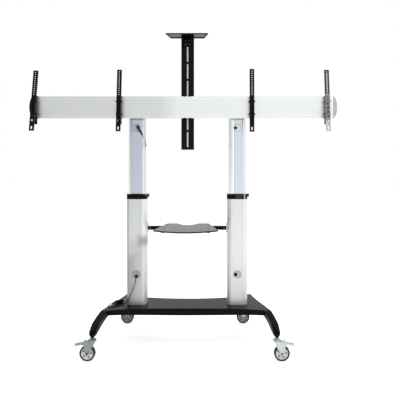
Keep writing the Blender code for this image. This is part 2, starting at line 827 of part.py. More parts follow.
def upper_section(grow, *flats):
    """The upper tube's section with every side moved out by grow."""
    return corner_points(UPPER_WIDTH + 2 * grow, UPPER_DEPTH + 2 * grow, UPPER_RADIUS + grow,
                         CORNER_STEPS, *flats)


def moved(points, x, y):
    return [(u + x, v + y) for u, v in points]


def cap_hole_tool(name, x, face_y, z):
    return rod(name, (x, face_y, z), Y_AXIS, (-0.01, 0.02), CAP_SPIGOT_RADIUS + RUN, ALUMINIUM, 28)


def build_lower_column(name, x):
    outline = moved(grooved_points(LOWER_WIDTH, LOWER_DEPTH, LOWER_RADIUS, CORNER_STEPS, True), x, COLUMN_Y)
    bore = moved(lower_section(-LOWER_WALL), x, COLUMN_Y)
    column = extrude(name, outline, (BASE_TOP + GAP, LOWER_TOP), 'Z', ALUMINIUM, [bore])
    cut(column, cap_hole_tool(name + "_hole", x, COLUMN_Y - LOWER_DEPTH / 2, LOWER_CAP_Z))
    return set_origin(column, (x, COLUMN_Y, BASE_TOP))


def build_upper_column(name, x):
    outline = moved(grooved_points(UPPER_WIDTH, UPPER_DEPTH, UPPER_RADIUS, CORNER_STEPS, False), x, COLUMN_Y)
    bore = moved(upper_section(-UPPER_WALL), x, COLUMN_Y)
    column = extrude(name, outline, (UPPER_BOTTOM, UPPER_TOP), 'Z', ALUMINIUM, [bore])
    cut(column, cap_hole_tool(name + "_hole", x, COLUMN_Y - UPPER_DEPTH / 2, UPPER_CAP_Z))
    return set_origin(column, (x, COLUMN_Y, UPPER_BOTTOM))


def build_collar(name, x):
    """A clamp collar whose skirt is also the bush between the two tubes."""
    outer = lower_section(COLLAR_OVERHANG, 3)
    bore = upper_section(RUN, 3)
    skirt = lower_section(-LOWER_WALL - RUN, 3)
    seat = LOWER_TOP + GAP
    top = seat + COLLAR_HEIGHT
    foot = LOWER_TOP - COLLAR_SKIRT

    def ring(points, level, arched=False):
        reach = LOWER_WIDTH / 2 + COLLAR_OVERHANG
        made = []
        for u, v in points:
            rise = COLLAR_ARCH * (1 - (u / reach) ** 2) if arched else 0
            made.append((x + u, COLUMN_Y + v, level + rise))
        return made

    rings = [
        ring(outer, seat),
        ring(outer, top, True),
        ring(bore, top, True),
        ring(bore, foot),
        ring(skirt, foot),
        ring(skirt, seat),
    ]
    collar = loft(name, rings, PLASTIC, closed=True)
    centre = (x, COLUMN_Y, seat + COLLAR_HEIGHT / 2 + KNOB_RISE)
    cut(collar, rod(name + "_tap", centre, X_AXIS, (0.03, LOWER_WIDTH), STUD_RADIUS + RUN, PLASTIC, 12))
    return set_origin(collar, (x, COLUMN_Y, LOWER_TOP))


def build_knob(name, x):
    """A lobed knob on a stud that presses on the upper tube's right side."""
    z = LOWER_TOP + GAP + COLLAR_HEIGHT / 2 + KNOB_RISE
    steps = 24
    tip = UPPER_WIDTH / 2 + GAP
    shoulder = LOWER_WIDTH / 2 + COLLAR_OVERHANG + GAP
    head = shoulder + KNOB_NECK
    end = head + KNOB_LENGTH
    stations = (
        (tip, STUD_RADIUS, 0.0),
        (shoulder, STUD_RADIUS, 0.0),
        (shoulder, KNOB_RADIUS * 0.55, 0.0),
        (head, KNOB_RADIUS * 0.60, 0.0),
        (head + 0.002, KNOB_RADIUS, 1.0),
        (end - 0.003, KNOB_RADIUS, 1.0),
        (end, KNOB_RADIUS * 0.80, 0.6),
    )
    rings = []
    for reach, radius, lobed in stations:
        ring = []
        for k in range(steps):
            turn = 2 * math.pi * k / steps
            grip = radius - KNOB_LOBE_DEPTH * lobed * (0.5 - 0.5 * math.cos(KNOB_LOBES * turn))
            ring.append((x + reach, COLUMN_Y + grip * math.cos(turn), z + grip * math.sin(turn)))
        rings.append(ring)
    knob = loft(name, rings, PLASTIC)
    return set_origin(knob, (x + shoulder, COLUMN_Y, z))


def build_cap(name, x, face_y, z, turn):
    """A round cable cover: its flange lies on the tube's face and its spigot turns in the hole."""
    seat = -GAP
    profile = [
        (CAP_SPIGOT_RADIUS, CAP_SPIGOT),
        (CAP_SPIGOT_RADIUS, seat),
        (CAP_RADIUS, seat),
        (CAP_RADIUS, seat - CAP_FLANGE / 2),
        (CAP_RADIUS - 0.0015, seat - CAP_FLANGE),
    ]
    cap = turned(name, profile, (x, face_y, z), Y_AXIS, 28, GREY_CAP)
    hole_x = x + CAP_HOLE_OFFSET * math.cos(math.radians(turn))
    hole_z = z + CAP_HOLE_OFFSET * math.sin(math.radians(turn))
    hole = rod(name + "_hole", (hole_x, face_y, hole_z), Y_AXIS, (-0.02, 0.02), CAP_HOLE_RADIUS, GREY_CAP, 20)
    cut(cap, hole)
    return set_origin(cap, (x, face_y, z))


def build_columns():
    lower_face = COLUMN_Y - LOWER_DEPTH / 2
    upper_face = COLUMN_Y - UPPER_DEPTH / 2
    turns = (("left", -1, LOWER_LEFT_CAP_TURN, UPPER_LEFT_CAP_TURN),
             ("right", 1, LOWER_RIGHT_CAP_TURN, UPPER_RIGHT_CAP_TURN))
    for label, side, lower_turn, upper_turn in turns:
        x = CART_X + side * COLUMN_SPREAD
        build_lower_column(f"lower_column_{label}", x)
        build_upper_column(f"upper_column_{label}", x)
        build_collar(f"column_collar_{label}", x)
        build_knob(f"clamp_knob_{label}", x)
        build_cap(f"lower_cap_{label}", x, lower_face, LOWER_CAP_Z, lower_turn)
        build_cap(f"upper_cap_{label}", x, upper_face, UPPER_CAP_Z, upper_turn)
        build_saddle(f"beam_saddle_{label}", x)


# Beam and saddles

def beam_rear():
    return COLUMN_Y - UPPER_DEPTH / 2 - 2 * GAP - SADDLE_THICKNESS


def beam_front():
    return beam_rear() - BEAM_DEPTH


def build_saddle(name, x):
    """A plate between beam and column whose lid closes the column's top."""
    front = beam_rear() + GAP
    back = front + SADDLE_THICKNESS
    low = BEAM_Z - BEAM_HEIGHT / 2 + SADDLE_LID
    high = UPPER_TOP + GAP + SADDLE_LID
    span_x = (x - SADDLE_HALF_WIDTH, x + SADDLE_HALF_WIDTH)
    saddle = box(name, span_x, (front, back), (low, high), PLASTIC)
    lid_outline = moved(upper_section(0), x, COLUMN_Y)
    lid = extrude(name + "_lid", lid_outline, (UPPER_TOP + GAP, high), 'Z', PLASTIC)
    neck = box(name + "_neck", span_x, (back - 0.001, COLUMN_Y), (UPPER_TOP + GAP, high), PLASTIC)
    plug_outline = moved(upper_section(-UPPER_WALL - RUN), x, COLUMN_Y)
    plug_span = (UPPER_TOP - SADDLE_PLUG, UPPER_TOP + SADDLE_LID / 2)
    plug = extrude(name + "_plug", plug_outline, plug_span, 'Z', PLASTIC)
    join(saddle, neck, lid, plug)
    return set_origin(saddle, (x, back, BEAM_Z))


def groove_points(centre, width, depth, edge, inward, along_z):
    """Four points of a square groove in a straight edge, in the edge's running order."""
    half = width / 2
    points = []
    for u, v in ((-half, 0), (-half, depth), (half, depth), (half, 0)):
        position = centre + u
        level = edge + inward * v
        points.append((level, position) if along_z else (position, level))
    return points


def build_beam():
    front = beam_front()
    rear = beam_rear()
    low = BEAM_Z - BEAM_HEIGHT / 2
    high = BEAM_Z + BEAM_HEIGHT / 2
    hook_y = front + BEAM_HOOK_GROOVE_SET_BACK
    bottom = groove_points(hook_y, BEAM_HOOK_GROOVE_WIDTH, BEAM_HOOK_GROOVE_DEPTH, low, 1, False)
    top = groove_points(hook_y, BEAM_HOOK_GROOVE_WIDTH, BEAM_HOOK_GROOVE_DEPTH, high, -1, False)
    face = []
    for z in (-BEAM_FACE_GROOVE_Z, 0, BEAM_FACE_GROOVE_Z):
        face += groove_points(BEAM_Z + z, BEAM_FACE_GROOVE_WIDTH, BEAM_FACE_GROOVE_DEPTH, front, 1, True)
    outline = [(front, low)] + bottom + [(rear, low), (rear, high)]
    outline += list(reversed(top)) + [(front, high)] + list(reversed(face))
    room_z = BEAM_HEIGHT / 2 - BEAM_HOOK_GROOVE_DEPTH - BEAM_WALL
    room = [(front + BEAM_WALL, BEAM_Z - room_z), (rear - BEAM_WALL, BEAM_Z - room_z),
            (rear - BEAM_WALL, BEAM_Z + room_z), (front + BEAM_WALL, BEAM_Z + room_z)]
    beam = extrude("beam", outline, (-BEAM_HALF_LENGTH, BEAM_HALF_LENGTH), 'X', ALUMINIUM, [room])
    return set_origin(beam, (0, (front + rear) / 2, BEAM_Z))


def build_end_cap(name, side):
    """A cover whose outer side bulges along the beam, with a plug in the beam's hollow."""
    front = beam_front()
    rear = beam_rear()
    start = BEAM_HALF_LENGTH + GAP
    half = BEAM_HEIGHT / 2
    outline = [(side * start, BEAM_Z - half), (side * start, BEAM_Z + half)]
    steps = 10
    for k in range(steps + 1):
        z = mix(half, -half, k / steps)
        bulge = BEAM_CAP_FLANGE + (BEAM_CAP_BULGE - BEAM_CAP_FLANGE) * (1 - (z / half) ** 2) ** 0.7
        outline.append((side * (start + bulge), BEAM_Z + z))
    cap = extrude(name, outline, (front, rear), 'Y', GREY_CAP)
    room_z = BEAM_HEIGHT / 2 - BEAM_HOOK_GROOVE_DEPTH - BEAM_WALL - RUN
    plug_x = sorted((side * (BEAM_HALF_LENGTH - BEAM_CAP_PLUG), side * (start + BEAM_CAP_FLANGE / 2)))
    plug_y = (front + BEAM_WALL + RUN, rear - BEAM_WALL - RUN)
    join(cap, box(name + "_plug", plug_x, plug_y, (BEAM_Z - room_z, BEAM_Z + room_z), GREY_CAP))
    return set_origin(cap, (side * BEAM_HALF_LENGTH, (front + rear) / 2, BEAM_Z))


# Screen brackets

def tilt_back(piece, pivot, degrees):
    """Turns a mesh about an X axis through the pivot, its top towards the rear."""
    turn = Matrix.Rotation(math.radians(-degrees), 4, 'X')
    pivot = Vector(pivot)
    piece.data.transform(Matrix.Translation(pivot) @ turn @ Matrix.Translation(-pivot))
    return piece


def headed_pin(name, x, y, z, radius):
    """A pin along X whose heads lie outside the rail's two sides."""
    seat = RAIL_WIDTH / 2 + GAP
    profile = [
        (TILT_HEAD_RADIUS, -seat - TILT_HEAD),
        (TILT_HEAD_RADIUS, -seat),
        (radius, -seat),
        (radius, seat),
        (TILT_HEAD_RADIUS, seat),
        (TILT_HEAD_RADIUS, seat + TILT_HEAD),
    ]
    return turned(name, profile, (x, y, z), X_AXIS, 12, BLACK_STEEL)


def build_hook(name, x):
    """Folded sheet over the beam's top and bottom edges, with two ears that carry the rail."""
    low = BEAM_Z - BEAM_HEIGHT / 2
    high = BEAM_Z + BEAM_HEIGHT / 2
    back = beam_front() - GAP
    face = back - HOOK_SHEET
    groove = beam_front() + BEAM_HOOK_GROOVE_SET_BACK
    near = groove - HOOK_SHEET / 2
    far = groove + HOOK_SHEET / 2
    over = high + GAP
    under = low - GAP
    outline = [
        (face, over + HOOK_SHEET),
        (face, BEAM_Z + HOOK_FOOT),
        (back, BEAM_Z + HOOK_FOOT),
        (back, under - HOOK_SHEET),
        (far, under - HOOK_SHEET),
        (far, under + HOOK_TIP),
        (near, under + HOOK_TIP),
        (near, under),
        (back, under),
        (back, over),
        (near, over),
        (near, over - HOOK_TIP),
        (far, over - HOOK_TIP),
        (far, over + HOOK_SHEET),
    ]
    half = RAIL_WIDTH / 2 - RAIL_SHEET - GAP
    hook = extrude(name, outline, (x - half, x + half), 'X', BLACK_STEEL)
    pivot_y = beam_front() - TILT_PIVOT_REACH
    pivot_z = BEAM_Z + TILT_PIVOT_Z
    front = pivot_y - RAIL_DEPTH / 2 + RAIL_SHEET + 3 * GAP
    lean = EAR_MARGIN * math.tan(math.radians(TILT_MAX))
    foot = pivot_z - TILT_LOCK_DROP - EAR_MARGIN
    ear = [
        (face + HOOK_SHEET / 2, foot - EAR_MARGIN),
        (face + HOOK_SHEET / 2, pivot_z + 2 * EAR_MARGIN),
        (front + 2 * lean, pivot_z + EAR_MARGIN),
        (front, pivot_z),
        (front, foot),
    ]
    lock_hole = round_hole((pivot_y, pivot_z - TILT_LOCK_DROP), TILT_LOCK_RADIUS + RUN, 12)
    for side in (-1, 1):
        span = sorted((x + side * half, x + side * (half - HOOK_SHEET)))
        join(hook, extrude(f"{name}_ear_{side + 1}", ear, span, 'X', BLACK_STEEL, [lock_hole]))
    join(hook, headed_pin(name + "_pin", x, pivot_y, pivot_z, TILT_PIN_RADIUS))
    return set_origin(hook, (x, beam_front(), BEAM_Z))


def build_rail(name, x, tilt):
    """A drilled channel whose sides reach back to a curved slot for the locking screw."""
    pivot_y = beam_front() - TILT_PIVOT_REACH
    pivot_z = BEAM_Z + TILT_PIVOT_Z
    pivot = (x, pivot_y, pivot_z)
    front = pivot_y - RAIL_DEPTH / 2
    rear = pivot_y + RAIL_DEPTH / 2
    top = BEAM_Z + RAIL_TOP
    bottom = BEAM_Z + RAIL_BOTTOM
    half = RAIL_WIDTH / 2
    holes = []
    for k in range(RAIL_HOLE_COUNT):
        holes.append(round_hole((x, BEAM_Z + RAIL_HOLE_TOP - k * RAIL_HOLE_PITCH), RAIL_HOLE, 6))
    for k in range(RAIL_WINDOW_COUNT):
        centre = (x, BEAM_Z + RAIL_WINDOW_TOP - k * RAIL_WINDOW_PITCH)
        holes.append(square_hole(centre, RAIL_WINDOW))
    holes.append(upright_slot((x, BEAM_Z + RAIL_SLOT_Z), RAIL_SLOT_LENGTH, RAIL_SLOT_WIDTH, 4))
    web = half - RAIL_SHEET / 2
    outline = [(x - web, bottom + GAP), (x + web, bottom + GAP), (x + web, top - GAP), (x - web, top - GAP)]
    rail = extrude(name, outline, (front + GAP, front + GAP + RAIL_SHEET), 'Y', BLACK_STEEL, holes)
    tilt_back(rail, pivot, tilt)
    wing = TILT_LOCK_DROP * math.sin(math.radians(TILT_MAX)) + WING_MARGIN
    low = pivot_z - TILT_LOCK_DROP
    flange = [
        (front, bottom),
        (rear, bottom),
        (rear, low - EAR_MARGIN),
        (pivot_y + wing, low - WING_MARGIN),
        (pivot_y + wing, low + 2 * WING_MARGIN),
        (rear, pivot_z - 2 * EAR_MARGIN),
        (rear, top),
        (front, top),
    ]
    centre = (pivot_y, pivot_z)
    start = -90
    slot = arc(centre, TILT_LOCK_DROP - TILT_SLOT_RADIUS, start, start + TILT_MAX, 3)
    end_turn = math.radians(start + TILT_MAX)
    far_end = (pivot_y + TILT_LOCK_DROP * math.cos(end_turn), pivot_z + TILT_LOCK_DROP * math.sin(end_turn))
    slot += arc(far_end, TILT_SLOT_RADIUS, start + TILT_MAX + 150, start + TILT_MAX + 30, 3)
    slot += arc(centre, TILT_LOCK_DROP + TILT_SLOT_RADIUS, start + TILT_MAX, start, 3)
    slot += arc((pivot_y, low), TILT_SLOT_RADIUS, start - 30, start - 150, 3)
    pin_hole = round_hole(centre, TILT_PIN_RADIUS + RUN, 12)
    for side in (-1, 1):
        span = sorted((x + side * half, x + side * (half - RAIL_SHEET)))
        plate = extrude(f"{name}_side_{side + 1}", flange, span, 'X', BLACK_STEEL, [pin_hole, slot])
        join(rail, tilt_back(plate, pivot, tilt))
    return set_origin(rail, pivot)


def build_brackets():
    for label, x, tilt in zip(BRACKET_NAMES, BRACKET_X, BRACKET_TILT):
        build_hook(f"bracket_hook_{label}", x)
        build_rail(f"bracket_rail_{label}", x, tilt)
        y = beam_front() - TILT_PIVOT_REACH
        z = BEAM_Z + TILT_PIVOT_Z - TILT_LOCK_DROP
        lock = headed_pin(f"tilt_lock_{label}", x, y, z, TILT_LOCK_RADIUS)
        set_origin(lock, (x, y, z))


# Camera mast

def mast_front():
    return beam_rear() + CLAMP_THICKNESS + 2 * GAP


def build_mast_clamp():
    """A plate behind the beam, with fingers over its edges and a stud through a slot of the mast."""
    near = beam_rear() + GAP
    far = near + CLAMP_THICKNESS
    over = BEAM_Z + BEAM_HEIGHT / 2 + GAP
    under = BEAM_Z - BEAM_HEIGHT / 2 - GAP
    face = beam_front() - GAP
    sheet = CLAMP_FINGER_SHEET
    span_x = (MAST_X - CLAMP_HALF_WIDTH, MAST_X + CLAMP_HALF_WIDTH)
    clamp = box("mast_clamp", span_x, (near, far), (under - sheet, over + sheet), BLACK_STEEL)
    finger = [
        (far, over + sheet),
        (face - sheet, over + sheet),
        (face - sheet, over - CLAMP_FINGER_TIP),
        (face, over - CLAMP_FINGER_TIP),
        (face, over),
        (near, over),
        (near, under),
        (face, under),
        (face, under + CLAMP_FINGER_TIP),
        (face - sheet, under + CLAMP_FINGER_TIP),
        (face - sheet, under - sheet),
        (far, under - sheet),
    ]
    for side in (-1, 1):
        x = MAST_X + side * CLAMP_FINGER_SPREAD
        span = (x - CLAMP_FINGER_WIDTH / 2, x + CLAMP_FINGER_WIDTH / 2)
        join(clamp, extrude(f"mast_clamp_finger_{side + 1}", finger, span, 'X', BLACK_STEEL))
    seat = mast_front() + MAST_SHEET + GAP
    profile = [
        (CLAMP_STUD_RADIUS, far - CLAMP_THICKNESS / 2),
        (CLAMP_STUD_RADIUS, seat),
        (CLAMP_NUT_RADIUS, seat),
        (CLAMP_NUT_RADIUS, seat + CLAMP_NUT_LENGTH),
    ]
    stud = turned("mast_clamp_stud", profile, (MAST_X, 0, BEAM_Z), Y_AXIS, 18, BLACK_STEEL)
    join(clamp, stud)
    return set_origin(clamp, (MAST_X, near, BEAM_Z))


def build_mast():
    front = mast_front()
    rear = front + MAST_DEPTH
    half = MAST_WIDTH / 2
    outline = [
        (MAST_X - half, front),
        (MAST_X + half, front),
        (MAST_X + half, rear),
        (MAST_X + half - MAST_SHEET, rear),
        (MAST_X + half - MAST_SHEET, front + MAST_SHEET),
        (MAST_X - half + MAST_SHEET, front + MAST_SHEET),
        (MAST_X - half + MAST_SHEET, rear),
        (MAST_X - half, rear),
    ]
    mast = extrude("camera_mast", outline, (MAST_BOTTOM, MAST_TOP), 'Z', BLACK_STEEL)
    slot_span = (front - MAST_SHEET, front + 2 * MAST_SHEET)
    for k in range(MAST_SLOT_COUNT):
        z = MAST_TOP - MAST_SLOT_FIRST - MAST_SLOT_LENGTH / 2 - k * MAST_SLOT_PITCH
        slot = upright_slot((MAST_X, z), MAST_SLOT_LENGTH, MAST_SLOT_WIDTH)
        cut(mast, extrude(f"camera_mast_slot_{k}", slot, slot_span, 'Y', BLACK_STEEL))
    return set_origin(mast, (MAST_X, front, MAST_BOTTOM))


def shelf_trapezoid(front, rear, inset):
    front_half = CAMERA_SHELF_FRONT_WIDTH / 2 - inset
    rear_half = CAMERA_SHELF_REAR_WIDTH / 2 - inset
    return [(MAST_X - front_half, front + inset), (MAST_X + front_half, front + inset),
            (MAST_X + rear_half, rear - inset), (MAST_X - rear_half, rear - inset)]


def build_camera_shelf():
    rear = mast_front() - GAP
    front = rear - CAMERA_SHELF_DEPTH
    ceiling = MAST_TOP + GAP
    top = ceiling + CAMERA_SHELF_SHEET
    lip = ceiling - CAMERA_SHELF_LIP
    shelf = extrude("camera_shelf", shelf_trapezoid(front, rear, 0), (lip, top), 'Z', BLACK_STEEL)
    room = shelf_trapezoid(front, rear, CAMERA_SHELF_SHEET)
    cut(shelf, extrude("camera_shelf_room", room, (lip - CAMERA_SHELF_LIP, ceiling), 'Z', BLACK_STEEL))
    sole = ceiling + CAMERA_SHELF_SHEET / 2
    heel = MAST_TOP - GUSSET_HEIGHT
    plate_half = MAST_WIDTH / 2 - MAST_SHEET
    plate = box("camera_shelf_back", (MAST_X - plate_half, MAST_X + plate_half),
                (rear - GUSSET_SHEET, rear), (heel, sole), BLACK_STEEL)
    join(shelf, plate)
    brace = [
        (rear - GUSSET_SHEET / 2, sole),
        (rear - GUSSET_REACH, sole),
        (rear - GUSSET_REACH, ceiling - CAMERA_SHELF_LIP),
        (rear - 4 * GUSSET_SHEET, heel),
        (rear - GUSSET_SHEET / 2, heel),
    ]
    for side in (-1, 1):
        x = MAST_X + side * GUSSET_SPREAD
        span = (x - GUSSET_SHEET / 2, x + GUSSET_SHEET / 2)
        join(shelf, extrude(f"camera_shelf_brace_{side + 1}", brace, span, 'X', BLACK_STEEL))
    return set_origin(shelf, (MAST_X, rear, MAST_TOP))


# Equipment shelf

def build_shelf():
    """A thin tray with a bowed front lip and a cut-out at the back for hanging cables."""
    steps = 16
    front = []
    for k in range(steps + 1):
        x = mix(-SHELF_FRONT_HALF, SHELF_FRONT_HALF, k / steps)
        front.append((x, SHELF_FRONT_Y - SHELF_FRONT_BOW * (1 - (x / SHELF_FRONT_HALF) ** 2)))
    rear = [(SHELF_REAR_HALF, SHELF_REAR_Y)]
    for k in range(steps + 1):
        u = mix(1, -1, k / steps)
        dip = SHELF_CUT_DEPTH * (math.cos(math.pi * u / 2)) ** 0.8 if abs(u) < 1 else 0
        rear.append((SHELF_CUT_HALF * u, SHELF_REAR_Y - dip))
    rear.append((-SHELF_REAR_HALF, SHELF_REAR_Y))
    outline = moved(front + rear, CART_X, 0)
    floor = SHELF_TOP - SHELF_SHEET
    shelf = extrude("equipment_shelf", outline, (floor, SHELF_TOP), 'Z', BLACK_STEEL)
    rim = front + [(x, y + SHELF_SHEET) for x, y in reversed(front)]
    lip_span = (SHELF_TOP - SHELF_FRONT_LIP, SHELF_TOP)
    lip = extrude("equipment_shelf_lip", moved(rim, CART_X, 0), lip_span, 'Z', BLACK_STEEL)
    join(shelf, lip)
    return set_origin(shelf, (CART_X, 0, SHELF_TOP))


def clamp_face():
    """Distance of the columns' inner sides from the middle, less the gap."""
    return COLUMN_SPREAD - LOWER_WIDTH / 2 - GAP


def build_crossbar():
    """A square tube between the columns with two arms under the shelf."""
    high = SHELF_TOP - SHELF_SHEET - GAP
    low = high - CROSSBAR_HEIGHT
    half = CROSSBAR_DEPTH / 2
    reach = clamp_face() - SHELF_CLAMP_SHEET - GAP
    wall = CROSSBAR_WALL
    outline = [(COLUMN_Y - half, low), (COLUMN_Y + half, low),
               (COLUMN_Y + half, high), (COLUMN_Y - half, high)]
    room = [(COLUMN_Y - half + wall, low + wall), (COLUMN_Y + half - wall, low + wall),
            (COLUMN_Y + half - wall, high - wall), (COLUMN_Y - half + wall, high - wall)]
    bar = extrude("shelf_crossbar", outline, (CART_X - reach, CART_X + reach), 'X', BLACK_STEEL, [room])
    edge = SHELF_FRONT_Y - SHELF_FRONT_BOW * (1 - (ARM_SPREAD / SHELF_FRONT_HALF) ** 2)
    for side in (-1, 1):
        x = CART_X + side * ARM_SPREAD
        span_x = (x - ARM_WIDTH / 2, x + ARM_WIDTH / 2)
        ends = ((edge + ARM_TIP_SET_BACK, COLUMN_Y - half + wall / 2),
                (COLUMN_Y + half - wall / 2, SHELF_REAR_Y - ARM_TIP_SET_BACK))
        span_z = (high - ARM_HEIGHT, high)
        for k, span_y in enumerate(ends):
            join(bar, box(f"shelf_crossbar_arm_{side + 1}_{k}", span_x, span_y, span_z, BLACK_STEEL))
    return set_origin(bar, (CART_X, COLUMN_Y, (low + high) / 2))


def build_shelf_clamp(name, side):
    high = SHELF_TOP - SHELF_SHEET - GAP
    z = high - CROSSBAR_HEIGHT / 2
    face = clamp_face()

    def span_x(near, far):
        return sorted((CART_X + side * near, CART_X + side * far))

    half_z = SHELF_CLAMP_HEIGHT / 2
    half_y = SHELF_CLAMP_DEPTH / 2
    clamp = box(name, span_x(face - SHELF_CLAMP_SHEET, face), (COLUMN_Y - half_y, COLUMN_Y + half_y),
                (z - half_z, z + half_z), BLACK_STEEL)
    key = SIDE_GROOVE_WIDTH / 2 - RUN
    depth = face + GAP + SHELF_CLAMP_KEY
    join(clamp, box(name + "_key", span_x(face - RUN, depth), (COLUMN_Y - key, COLUMN_Y + key),
                    (z - half_z + RUN, z + half_z - RUN), BLACK_STEEL))
    boss_y = CROSSBAR_DEPTH / 2 - CROSSBAR_WALL - RUN
    boss_z = CROSSBAR_HEIGHT / 2 - CROSSBAR_WALL - RUN
    boss_x = span_x(face - SHELF_CLAMP_SHEET - GAP - SHELF_CLAMP_BOSS, face - SHELF_CLAMP_SHEET / 2)
    join(clamp, box(name + "_boss", boss_x, (COLUMN_Y - boss_y, COLUMN_Y + boss_y),
                    (z - boss_z, z + boss_z), BLACK_STEEL))
    return set_origin(clamp, (CART_X + side * face, COLUMN_Y, z))


# Leads

def smooth_route(points, spacing):
    """Points at even spacing on a smooth curve through the route points."""
    points = [Vector(point) for point in points]
    padded = [2 * points[0] - points[1], *points, 2 * points[-1] - points[-2]]
    fine = [points[0]]
    for a, b, c, d in zip(padded, padded[1:], padded[2:], padded[3:]):
        for k in range(1, 25):
            t = k / 24
            bend = (2 * a - 5 * b + 4 * c - d) * t * t + (3 * b - a - 3 * c + d) * t ** 3
            fine.append(((2 * b) + (c - a) * t + bend) / 2)
    length = sum((q - p).length for p, q in zip(fine, fine[1:]))
    count = max(2, round(length / spacing))
    route = [fine[0]]
    target = length / count
    walked = 0.0
    for p, q in zip(fine, fine[1:]):
        step = (q - p).length
        while walked + step >= target and len(route) < count:
            route.append(p.lerp(q, (target - walked) / step))
            target += length / count
        walked += step
    route.append(fine[-1])
    return route


def build_cord(name, points, radius, material, lowest=0.0):
    """A cable along a route; lowest keeps its middle line above what it lies on."""
    route = smooth_route(points, 5 * radius)
    line = bpy.data.curves.new(name, 'CURVE')
    line.dimensions = '3D'
    line.bevel_depth = radius
    line.bevel_resolution = 2
    line.use_fill_caps = True
    spline = line.splines.new('POLY')
    spline.points.add(len(route) - 1)
    for spot, point in zip(spline.points, route):
        spot.co = (point.x, point.y, max(point.z, lowest), 1.0)
    line.materials.append(finish(material))
    cord = bpy.data.objects.new(name, line)
    bpy.context.scene.collection.objects.link(cord)
    return cord


def swept(name, points, radii, steps, material):
    """Round sections of given radii at given points, each square to the path."""
    points = [Vector(point) for point in points]
    rings = []
    side = None
    for i, point in enumerate(points):
        ahead = points[min(i + 1, len(points) - 1)] - points[max(i - 1, 0)]
        ahead.normalize()
        if side is None:
            side = ahead.orthogonal().normalized()
        side = (side - ahead * side.dot(ahead)).normalized()
        across = ahead.cross(side)
        ring = []
        for k in range(steps):
            turn = 2 * math.pi * k / steps
            ring.append(point + (side * math.cos(turn) + across * math.sin(turn)) * radii[i])
        rings.append(ring)
    return loft(name, rings, material)


def build_signal_lead():
    """A moulded lead-out comes through the upper left cable cap, and a thin lead hangs from it."""
    x = CART_X - COLUMN_SPREAD + CAP_HOLE_OFFSET * math.cos(math.radians(UPPER_LEFT_CAP_TURN))
    z = UPPER_CAP_Z + CAP_HOLE_OFFSET * math.sin(math.radians(UPPER_LEFT_CAP_TURN))
    face = COLUMN_Y - UPPER_DEPTH / 2
    bush = CAP_HOLE_RADIUS - GAP
    lip = -GAP - CAP_FLANGE
    points = [(x, face + CAP_SPIGOT, z), (x, face + lip, z), (x, face + lip - 0.001, z)]
    radii = [bush, bush, SIGNAL_BOOT_SECTIONS[0][3]]
    for u, v, w, radius in SIGNAL_BOOT_SECTIONS:
        points.append((x + u, face + v, z + w))
        radii.append(radius)
    connector = swept("upper_connector", points, radii, 12, PLASTIC)
    set_origin(connector, (x, face, z))
    end = Vector(points[-1])
    heading = (end - Vector(points[-2])).normalized()
    start = end + heading * GAP
    route = [start, start + heading * 0.010]
    route += [start + Vector(drop) for drop in SIGNAL_LEAD_DROPS]
    build_cord("signal_lead", route, SIGNAL_LEAD_RADIUS, LEAD_GREY)
    tail = Vector(route[-1])
    down = (tail - Vector(route[-2])).normalized()
    base = tail + down * GAP
    stations = (0, 0.008, 0.0085, SIGNAL_PLUG_LENGTH - 0.002, SIGNAL_PLUG_LENGTH)
    wide = (0.0040, 0.0046, 0.0062, 0.0062, 0.0054)
    plug = swept("signal_plug", [base + down * reach for reach in stations], wide, 12, PLASTIC)
    set_origin(plug, base)


def build_power_cord():
    """The mains cord leaves the lower left cable cap and its plug lies on the base."""
    route = [Vector((CART_X + x, y, z)) for x, y, z in POWER_CORD_ROUTE]
    tail = Vector(PLUG_START) + X_AXIS * CART_X
    heading = Vector(PLUG_HEADING).normalized()
    route += [tail - heading * 6 * POWER_CORD_RADIUS, tail - heading * 3 * POWER_CORD_RADIUS, tail]
    build_cord("power_cord", route, POWER_CORD_RADIUS, LEAD_BLACK, CORD_LIE)
    base = tail + heading * GAP
    relief = PLUG_RELIEF
    body = relief + PLUG_BODY
    stations = (0, relief, relief + 0.004, body - 0.012, body - 0.002, body)
    slim = PLUG_RADIUS - 0.001
    wide = (POWER_CORD_RADIUS + 0.0012, 0.0068, slim, PLUG_RADIUS, PLUG_RADIUS, slim)
    plug = swept("power_plug", [base + heading * reach for reach in stations], wide, 16, PLASTIC)
    side = heading.cross(Z_AXIS)
    for k, shift in enumerate((-PLUG_PIN_SPREAD, PLUG_PIN_SPREAD)):
        root = base + side * shift
        pin = [root + heading * (body - 0.004), root + heading * (body + PLUG_PIN_LENGTH)]
        join(plug, swept(f"power_plug_pin_{k}", pin, (PLUG_PIN_RADIUS, PLUG_PIN_RADIUS), 10, PLASTIC))
    set_origin(plug, base)


clear_scene()
build_base()
build_casters()
build_columns()
build_beam()
build_end_cap("beam_end_cap_left", -1)
build_end_cap("beam_end_cap_right", 1)
build_brackets()
build_mast_clamp()
build_mast()
build_camera_shelf()
build_shelf()
build_crossbar()
build_shelf_clamp("shelf_clamp_left", -1)
build_shelf_clamp("shelf_clamp_right", 1)
build_signal_lead()
build_power_cord()
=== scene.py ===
import math

import bmesh
import bpy
from mathutils import Matrix, Vector


